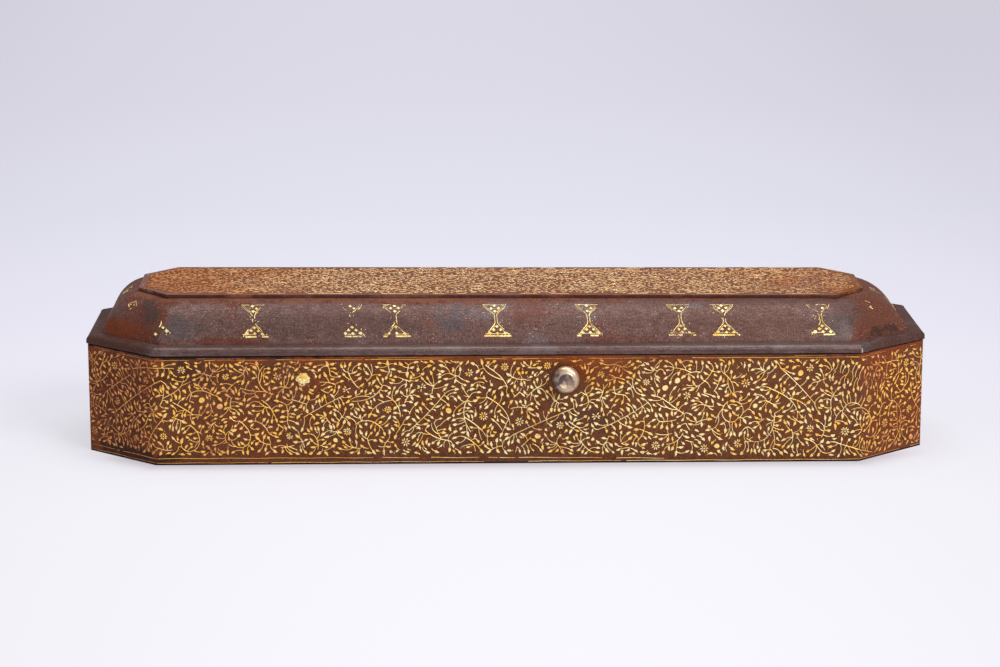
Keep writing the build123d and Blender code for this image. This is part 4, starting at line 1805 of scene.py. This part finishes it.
@dataclass
class Ornament:
    """The hourglass that spans the dome: an upper and a lower bell joined by a waist."""

    foot: float = 2.8
    waist_bottom: float = 7.5
    waist_top: float = 11.8
    top: float = 16.9
    waist_half: float = 0.42
    top_half: float = 4.0
    foot_half: float = 4.3
    inner_gap: float = 0.7
    soften: int = 2

    def _half_width(self, up: np.ndarray) -> np.ndarray:
        """Half of the outline's width at heights up the dome."""
        upper = np.clip((up - self.waist_top) / (self.top - self.waist_top), 0, 1)
        lower = np.clip((self.waist_bottom - up) / (self.waist_bottom - self.foot), 0, 1)
        flare = (self.top_half - self.waist_half) * np.sin(upper * math.pi / 2)
        half = self.waist_half + flare + (self.foot_half - self.waist_half) * lower**0.9
        padded = np.pad(half, self.soften, mode="edge")
        span = 2 * self.soften + 1
        return np.convolve(padded, np.ones(span) / span, mode="valid")

    def draw(self, wear: float, seed: int) -> Drawing:
        """One hourglass with its middle at 0.

        Args:
            wear: Share of it that has rubbed off.
            seed: Which parts have gone.

        Returns:
            The drawing.
        """
        rng = np.random.default_rng(seed)
        lines = []
        up = np.arange(self.foot, self.top + 0.01, 0.35)
        for side in (-1, 1):
            half = self._half_width(up)
            lines.append((np.column_stack([side * half, up]), 0.14))
            inner = half - self.inner_gap
            kept = inner > 0.5
            lines.append((np.column_stack([side * inner, up])[kept & (up < 9)], 0.1))
            lines.append((np.column_stack([side * inner, up])[kept & (up > 11)], 0.1))
        across = np.arange(-1, 1.01, 0.1)
        scallop = self.top - 0.25 - 0.22 * np.abs(np.sin(across * math.pi * 2))
        lines.append((np.column_stack([across * self.top_half, scallop]), 0.15))
        bar = np.column_stack([across * (self.foot_half + 0.5), 0 * across + self.foot])
        lines.append((bar, 0.36))
        lines.append((bar * (0.9, 1.0) + (0, 0.8), 0.12))
        drawing = Drawing([], [])
        for points, width in lines:
            drawing.stems += broken_line(points, width, wear, rng)
        lozenges = ((-1.25, 14.5), (1.25, 14.5), (0.0, 13.1), (0.0, 15.9), (0.0, 6.3))
        lozenges += ((0.0, 3.9), (-1.2, 5.1), (1.2, 5.1), (-2.7, 3.9), (2.7, 3.9))
        for place in lozenges:
            if rng.random() > wear * 0.6:
                size = rng.uniform(1.15, 1.5)
                place = np.array(place) + rng.normal(0, 0.08, 2)
                drawing.marks.append(Mark(Shape.LOZENGE, place, 0.0, size, size))
        for _ in range(int(22 * (1 - wear))):
            place = rng.normal((0, 8.5), (1.9, 4.6))
            if 1.8 < place[1] < 17.5:
                size = rng.uniform(0.18, 0.42)
                drawing.marks.append(Mark(Shape.DOT, place, rng.uniform(0, 3), size, size))
        return drawing


@dataclass
class Lid:
    """The lid: its rim, its dome with the hourglasses, and its top plate with the vine."""

    curve: DomeCurve = DomeCurve()
    rim_bottom: float = 39.2
    rim_top: float = 42.3
    rim_lump: float = 20.0
    plate_bottom: float = 56.3
    plate_surface: float = 57.63
    lean_left: float = 1.6
    lean_down: float = 1.3
    lip: float = 4.0
    dome_dents: float = 0.3
    plate_dents: float = 0.12
    plate_bevel: float = 0.35
    plate_margin: float = 2.2
    rim_dents: float = 0.08
    rim_outset: float = 0.5
    rim_round_in: float = 1.4
    rim_round_from: float = 40.4
    rim_round_up: float = 1.86
    rim_round_down: float = 0.4
    foot_gap: float = 0.03
    foot_ridge: float = 0.6
    soft_ridge: float = 7.0
    inner_ridge: float = 2.0
    ridge_softens_over: float = 4.0
    back_shift: float = 3.0
    back_wear: float = 0.95
    end_wear: float = 0.85
    hourglasses: tuple[tuple[float, float], ...] = (
        (-121.0, 0.93), (-88.8, 0.4), (-54.3, 0.5), (-38.8, 0.45), (-3.2, 0.06), (29.6, 0.22),
        (62.1, 0.32), (77.7, 0.15), (112.1, 0.4),
    )
    lozenges: tuple[tuple[str, float, float], ...] = (
        ("front_left", -4.5, 0.15), ("front_right", 3.0, 0.8), ("back_left", 0.0, 0.3),
        ("back_right", 0.0, 0.3),
    )

    def build(self, smith: Goldsmith) -> None:
        """Build and dress all of the lid."""
        self._rims()
        self._dome()
        self._dome_gold(smith)
        self._plate()
        self._plate_gold(smith)

    def _leaned(self, rows: np.ndarray) -> np.ndarray:
        """Places as handwork left them: the dome leans to the left, and its right end is low."""
        rise = self.plate_bottom - self.curve.foot_height
        share = np.clip((rows[:, 2] - self.curve.foot_height) / rise, 0, 1)
        leaned = rows.copy()
        leaned[:, 0] -= self.lean_left * share
        leaned[:, 2] -= self.lean_down * share * (rows[:, 0] / PLATE_PLAN.length + 0.5)
        return leaned

    def _rims(self) -> None:
        """The eight strips of the rim, rounded over and slightly uneven."""
        steel = RIM_STEEL.material()
        corners = BODY_PLAN.corners(0.0)
        for number, side in enumerate(SIDE_NAMES):
            angle = BODY_PLAN.side_angles()[number]
            face = Vector((*towards(angle), 0))
            run = Vector((*towards(angle + math.pi / 2), 0))
            distance = float(corners[number] @ towards(angle))
            bm = merged_copy(f"lid_rim_{side}")
            cut_across(bm, face, distance + np.arange(-self.rim_round_in, 0.5, 0.25))
            cut_across(bm, UP, np.arange(self.rim_bottom + 0.3, self.rim_top, 0.3))
            cut_across(bm, run, np.arange(-BODY_PLAN.length / 2, BODY_PLAN.length / 2, 3.0))
            for vert in bm.verts:
                outset = vert.co @ face - distance
                rounded = self._rounded_over(outset, vert.co.z)
                if rounded[0] > -1:
                    rounded[0] -= hammered(vert.co, self.rim_dents, self.rim_lump)
                vert.co += face * (rounded[0] - outset)
                vert.co.z = rounded[1]
            make_piece(bm, f"worn_rim_{side}", steel, "lid", f"lid_rim_{side}")

    def _rounded_over(self, outset: float, height: float) -> list[float]:
        """Where a point of the rim comes to lie when its outer corners are worn round.

        Args:
            outset: How far out the point lies from the body's face.
            height: Its height.

        Returns:
            The new outset and height.
        """
        across = self.rim_outset + self.rim_round_in
        lower = self.rim_bottom + self.rim_round_down
        for middle, reach in (
            (self.rim_round_from, self.rim_round_up),
            (lower, -self.rim_round_down),
        ):
            if outset > -self.rim_round_in and (height - middle) * reach > 0:
                size = math.hypot((outset + self.rim_round_in) / across, (height - middle) / reach)
                if size > 1:
                    outset = (outset + self.rim_round_in) / size - self.rim_round_in
                    height = middle + (height - middle) / size
        return [outset, height]

    def _dome(self) -> None:
        """The dome's shell, with soft ridges between its sides."""
        outer_insets, outer_heights = self.curve.arc()
        inner_insets, inner_heights = self.curve.arc(self.curve.sheet, 13)
        lip_inset = self.curve.top_inset + self.lip
        foot = self.rim_bottom + self.foot_gap
        profile = [(self.curve.foot_inset, foot, self.foot_ridge)]
        for inset, height in zip(outer_insets, outer_heights):
            share = min(1.0, (height - self.curve.foot_height) / self.ridge_softens_over)
            ridge = self.foot_ridge + (self.soft_ridge - self.foot_ridge) * share
            profile.append((inset, height, ridge))
        profile.append((lip_inset, outer_heights[-1], self.soft_ridge))
        profile.append((lip_inset, inner_heights[-1], self.soft_ridge))
        for inset, height in reversed(list(zip(inner_insets, inner_heights))):
            profile.append((inset, height, self.inner_ridge))
        profile.append((inner_insets[0], foot, self.inner_ridge))
        rings = []
        for inset, height, radius in profile:
            level = BODY_PLAN.ring(inset, radius, 3.0)
            rings.append([(*point, height) for point in level])
        rings = np.array(rings)
        curved = slice(2, 1 + len(outer_insets))
        for ring in rings[curved]:
            for point in ring:
                point -= self._outward(point) * hammered(point, self.dome_dents)
        bm = closed_shell(rings)
        move_all(bm, self._leaned)
        steel = DOME_STEEL.material()
        make_piece(bm, "hammered_dome", steel, "lid", "lid_dome", crease=50.0)

    @staticmethod
    def _outward(point: np.ndarray) -> np.ndarray:
        """Rough outward direction of the dome at a point."""
        angles = BODY_PLAN.side_angles()
        faces = np.array([towards(angle) for angle in angles])
        corners = BODY_PLAN.corners(0.0)
        depth = (corners * faces).sum(axis=1) - faces @ point[:2]
        face = faces[int(depth.argmin())]
        return np.array([*(face * 0.7), 0.7])

    def _dome_gold(self, smith: Goldsmith) -> None:
        """The hourglasses on the front, back and ends, and a lozenge on each corner side."""
        gold = DOME_GOLD.material()
        corner_marks = {side: (across, wear) for side, across, wear in self.lozenges}
        for number, side in enumerate(SIDE_NAMES):
            if side == "front":
                spots = self.hourglasses
            elif side == "back":
                back = self.hourglasses[1:]
                spots = tuple((x + self.back_shift, self.back_wear - wear) for x, wear in back)
            elif side in ("left", "right"):
                spots = ((0.0, self.end_wear),)
            else:
                spots = ()
            drawing = Drawing([], [])
            for order, (across, wear) in enumerate(spots):
                single = Ornament().draw(wear, seed=order * 7 + number)
                single = single.moved((across, 0.0))
                drawing.stems += single.stems
                drawing.marks += single.marks
            if side in corner_marks:
                across, wear = corner_marks[side]
                drawing = self._lozenge(number, wear).moved((across, 0.9))
            bm = smith.lay(drawing, DomeSide(self.curve, number, self.dome_dents).place)
            move_all(bm, self._leaned)
            make_piece(bm, f"gold_hourglass_{side}", gold, "lid")

    @staticmethod
    def _lozenge(seed: int, wear: float) -> Drawing:
        """A small lozenge with drops inside, as on the corner sides.

        Args:
            seed: Which parts have gone.
            wear: Share of it that has rubbed off.

        Returns:
            The drawing.
        """
        rng = np.random.default_rng(seed)
        corners = np.array([(0, 10.2), (2.2, 12.4), (0, 14.6), (-2.2, 12.4), (0, 10.2)])
        stems = []
        for start, end in zip(corners, corners[1:]):
            line = np.linspace(start, end, 12)
            stems += broken_line(line, rng.uniform(0.08, 0.17), wear, rng)
        marks = []
        for place in ((0, 11.4), (0.85, 12.4), (0, 13.4), (-0.85, 12.4)):
            size = rng.uniform(0.6, 0.9)
            if rng.random() > wear:
                marks.append(Mark(Shape.LOZENGE, np.array(place), 0.0, size, size))
        return Drawing(stems, marks)

    def _plate_place(self, rows: np.ndarray) -> np.ndarray:
        """Places on the plate of rows of (x, y, out)."""
        dents = [hammered((x, y, 0), self.plate_dents) for x, y in rows[:, :2]]
        height = self.plate_surface - np.array(dents)
        return self._leaned(np.column_stack([rows[:, :2], height + rows[:, 2]]))

    def _plate(self) -> None:
        """The top plate, a little uneven, with rounded edges."""
        bm = bmesh.new()
        prism(bm, PLATE_PLAN, self.plate_bottom, self.plate_surface)
        top_edges = [
            edge for edge in bm.edges if min(vert.co.z for vert in edge.verts) > self.plate_bottom
        ]
        bmesh.ops.bevel(
            bm, geom=top_edges, offset=self.plate_bevel, segments=2, affect="EDGES", profile=0.6,
            material=-1,
        )
        half_length, half_width = PLATE_PLAN.length / 2, PLATE_PLAN.width / 2
        cut_across(bm, ALONG, np.arange(-half_length, half_length, 4.0))
        cut_across(bm, ACROSS, np.arange(-half_width, half_width, 4.0))
        for vert in bm.verts:
            if vert.co.z > self.plate_bottom + 0.5:
                vert.co.z -= hammered((vert.co.x, vert.co.y, 0), self.plate_dents)
        move_all(bm, self._leaned)
        steel = PLATE_STEEL.material()
        make_piece(bm, "uneven_top_plate", steel, "lid", "lid_top_plate")

    def _plate_gold(self, smith: Goldsmith) -> None:
        """The vine over the plate, and the worn line near its edge."""
        size = np.array([PLATE_PLAN.length, PLATE_PLAN.width])
        plot = Plot(*size)
        cells = np.argwhere(~plot.taken)
        outside = PLATE_PLAN.depth(cells * plot.cell - size / 2) < self.plate_margin
        plot.taken[cells[outside, 0], cells[outside, 1]] = True
        drawing = Vine(plot, VineStyle(seed=5, scale=0.88)).draw()
        drawing = worn_away(drawing.moved(-size / 2), seed=8, share=0.06)
        rng = np.random.default_rng(4)
        corners = PLATE_PLAN.corners(1.5)
        for start, end in zip(corners, np.roll(corners, -1, axis=0)):
            line = np.linspace(start, end, int(math.dist(start, end) / 0.8) + 2)
            drawing.stems += broken_line(line, 0.1, 0.75, rng)
        bm = smith.lay(drawing, self._plate_place)
        make_piece(bm, "gold_vine_top_plate", PLATE_GOLD.material(), "lid")


@dataclass
class Latch:
    """The push button, the stud and the parts of the latch inside."""

    button_x: float = 20.2
    stud_x: float = -72.0
    height: float = 31.0
    wall_front: float = 46.0
    disc_radius: float = 2.6
    spring_fixed_x: float = -63.0
    stem_profile: tuple[Span, ...] = (
        (0.0, -5.8), (1.2, -5.8), (1.2, -5.0), (2.0, -5.0), (2.0, 2.2), (4.35, 2.2), (4.8, 2.65),
    )
    groove_profile: tuple[Span, ...] = ((3.1, 5.15), (2.95, 5.26), (2.75, 5.36), (2.55, 5.3))

    def build(self) -> None:
        """Build and dress all of the latch."""
        self._button()
        self._stud()
        self._spring()
        dress(FITTING_STEEL.material(), "lid_keeper", "button_collar", "latch_stud")

    def _button_profile(self) -> list[Span]:
        """Radii and distances out of the wall, from the inner end round to the disc's middle."""
        profile = list(self.stem_profile)
        for angle in np.linspace(0.1, 1.35, 9):
            profile.append((3.0 + 1.8 * math.cos(angle), 3.1 + 2.16 * math.sin(angle)))
        profile += self.groove_profile
        for share in np.linspace(0.92, 0.0, 9):
            profile.append((self.disc_radius * share, 4.5 + 0.75 * share * share))
        return profile

    def _button(self) -> None:
        """The button, turned with a rounded shoulder, a groove and a hollow disc."""
        bm = bmesh.new()
        verts = [
            bm.verts.new((self.button_x + radius, -self.wall_front - forward, self.height))
            for radius, forward in self._button_profile()
        ]
        edges = [bm.edges.new(pair) for pair in zip(verts, verts[1:])]
        bmesh.ops.spin(
            bm, geom=verts + edges, cent=(self.button_x, 0, self.height), axis=(0, 1, 0),
            angle=math.tau, steps=72, use_merge=True,
        )
        bmesh.ops.remove_doubles(bm, verts=bm.verts, dist=0.0001)
        bmesh.ops.recalc_face_normals(bm, faces=bm.faces)
        turned = TurnedMetal(
            "turned_metal",
            base=display(210, 184, 154),
            # The stain colour is also the colour of the painted shade on the head.
            stain=display(98, 82, 82),
            axis_x=self.button_x,
            axis_z=self.height,
            disc_radius=self.disc_radius,
        ).material()
        make_piece(bm, "turned_button", turned, "button", "button", crease=40.0)

    def _stud(self) -> None:
        """The lumpy end of the stud, hammered over the wall's front and gilded."""
        bm = bmesh.new()
        bmesh.ops.create_icosphere(bm, subdivisions=4, radius=1.0)
        for vert in bm.verts:
            x, y, z = vert.co
            lumps = 1 + 0.6 * noise.noise(vert.co * 1.6 + Vector((3, 1, 7)))
            creases = min(0.4, abs(noise.noise(vert.co * 2.1)) * 1.3)
            forward = min(0.0, y) * (0.85 - 1.5 * creases) + max(0.0, y) * 0.4
            vert.co.x = self.stud_x + x * 2.25 * lumps
            vert.co.y = -self.wall_front + forward
            vert.co.z = self.height + z * 2.1 * lumps
        make_piece(bm, "gilded_stud_end", STUD_GOLD.material(), "case")

    def _spring(self) -> None:
        """The leaf spring: a copy of the CAD spring, cut into short lengths along the box."""
        bm = merged_copy("latch_spring")
        cut_across(bm, ALONG, np.arange(-90.0, 90.0, 2.0))
        spring = mesh_object(bm, "bending_spring", SPRING_STEEL.material())
        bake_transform(spring)
        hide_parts("latch_spring")


def dress_fittings() -> None:
    """Dress the hinges and the ink bay, which keep their CAD shapes."""
    parts = ("hinge_body_leaf", "hinge_lid_leaf", "hinge_pin")
    hinges = [f"{part}_{hand}" for hand in ("left", "right") for part in parts]
    dress(FITTING_STEEL.material(), *hinges, "hinge_body_rivets", "hinge_lid_rivets")
    dress(INNER_STEEL.material(), "ink_partition")
    dress(OLD_BRASS.material(), "inkwell_pot", "inkwell_cover", "inkwell_cover_pin")


# Floor, light and camera
@dataclass(frozen=True)
class Softbox:
    """One lamp that faces the box: its place and size in metres, and its power in watts."""

    name: str
    place: tuple[float, float, float]
    size: Span
    power: float

    def build(self) -> None:
        """Add it to the scene."""
        data = bpy.data.lights.new(self.name, "AREA")
        data.shape = "RECTANGLE"
        data.size, data.size_y = self.size
        data.energy = self.power
        lamp = put_in_scene(self.name, data)
        lamp.location = self.place
        lamp.rotation_euler = Vector(self.place).to_track_quat("Z", "Y").to_euler()


@dataclass
class Studio:
    """Floor, lights and the camera of the photograph."""

    focal_pixels: float = 2977.7
    image_width: float = 1000.0
    pitch: float = 0.21464
    yaw: float = 0.0213
    roll: float = 0.00053
    aim_x: float = -1.9074
    aim_z: float = 37.0257
    distance: float = 1092.2
    floor_size: float = 9.0
    backdrop: tuple[tuple[float, Colour], ...] = (
        (0.0, display(244, 243, 246)), (0.113, display(244, 243, 246)),
        (0.207, display(238, 237, 246)), (0.28, display(231, 230, 242)),
        (0.433, display(221, 220, 233)), (0.667, display(222, 220, 233)),
        (1.0, display(231, 230, 242)),
    )
    contact_shadow_tone: Colour = display(150, 118, 132)
    glow: float = 1.085
    room: Colour = display(238, 238, 246)
    room_strength: float = 0.5
    lamps: tuple[Softbox, ...] = (
        Softbox("key", (1.0, -1.2, 1.1), (1.0, 0.7), 25.0),
        Softbox("fill", (-1.2, -1.0, 0.8), (0.8, 0.8), 2.5),
        Softbox("top", (0.1, 0.2, 1.5), (1.4, 0.8), 12.0),
    )

    def build(self) -> None:
        """Set up all of it."""
        self._camera()
        self._floor()
        self._lights()
        bpy.context.scene.view_settings.view_transform = "Standard"

    def _camera(self) -> None:
        """The camera, turned round the box by its yaw and tipped down by its pitch."""
        data = bpy.data.cameras.new("camera")
        data.sensor_width = 36.0
        data.lens = self.focal_pixels * data.sensor_width / self.image_width
        data.clip_start = 0.05
        back, up = self.distance * math.cos(self.pitch), self.distance * math.sin(self.pitch)
        place = Matrix.Translation(Vector((self.aim_x, -back, self.aim_z + up)) * MM)
        swing = Matrix.Rotation(-self.yaw, 4, "Z")
        tip = Matrix.Rotation(math.pi / 2 - self.pitch, 4, "X")
        camera = put_in_scene("camera", data)
        camera.matrix_world = swing @ place @ tip @ Matrix.Rotation(-self.roll, 4, "Z")
        bpy.context.scene.camera = camera

    def _floor_tones(self, shade: Shade, x: Signal, y: Signal) -> Signal:
        """Tones of the photograph's backdrop, darker where the box meets the floor.

        Args:
            shade: The floor's shade.
            x: Distance along the box in metres.
            y: Distance behind the box in metres.

        Returns:
            The colour.
        """
        ramp = {"stops": self.backdrop}
        tones = shade.node("ShaderNodeValToRGB", ramp, {0: (y + 0.3) / 1.8})
        screen_x = x / (y + self.distance * MM) + 0.02
        falloff = (1.0 - screen_x * screen_x * (y * 2.0 + 3.0)).larger(0.86).smaller(1.0)
        tones = shade.vector_maths("SCALE", {0: tones, "Scale": falloff})
        # A painted contact shadow on the floor, just in front of the box's foot.
        outside = (abs(x) * 0.662 + abs(y) * 0.75 - 0.1169).larger(abs(y) - 0.046)
        under = outside.larger(abs(x) - 0.15).rises(0.018, 0.0) * y.rises(-0.02, -0.04)
        return shade.mix(under * under * under * 0.5, tones, self.contact_shadow_tone)

    def _floor(self) -> None:
        """A pale floor that keeps the shadow and shows the photograph's backdrop tones."""
        shade = Shade("floor")
        x, y, _ = shade.axes(shade.node("ShaderNodeTexCoord", output="Object"))
        tones = self._floor_tones(shade, x, y)
        paths = shade.node("ShaderNodeLightPath").socket.node.outputs
        seen = Signal(shade, paths["Is Camera Ray"])
        for ray in ("Is Glossy Ray", "Is Transmission Ray"):
            seen = seen.larger(Signal(shade, paths[ray]))
        glow = shade.node("ShaderNodeEmission", inputs={"Color": tones, "Strength": self.glow})
        shade.finish(Base_Color=display(214, 213, 222), Roughness=0.9, Specular_IOR_Level=0.0)
        plain = Signal(shade, shade.shader.outputs[0])
        mixed = shade.node("ShaderNodeMixShader", inputs={0: seen * 0.6, 1: plain, 2: glow})
        shade.feed(shade.tree.nodes["Material Output"].inputs["Surface"], mixed)
        bm = bmesh.new()
        bmesh.ops.create_grid(bm, x_segments=1, y_segments=1, size=self.floor_size)
        mesh_object(bm, "floor", shade.material, size=1.0)

    def _lights(self) -> None:
        """A soft key from the front right, a weaker fill from the left, and the room."""
        world = bpy.data.worlds.new("room")
        bpy.context.scene.world = world
        world.use_nodes = True
        back = world.node_tree.nodes["Background"]
        back.inputs["Color"].default_value = self.room
        back.inputs["Strength"].default_value = self.room_strength
        for lamp in self.lamps:
            lamp.build()


def main() -> None:
    """Build and dress the box, then the studio round it."""
    logging.basicConfig(level=logging.INFO, format="%(message)s")
    smith = Goldsmith()
    Walls().build(smith)
    Lid().build(smith)
    Latch().build()
    dress_fittings()
    Studio().build()
    bpy.context.view_layer.update()


if __name__ == "__main__":
    main()
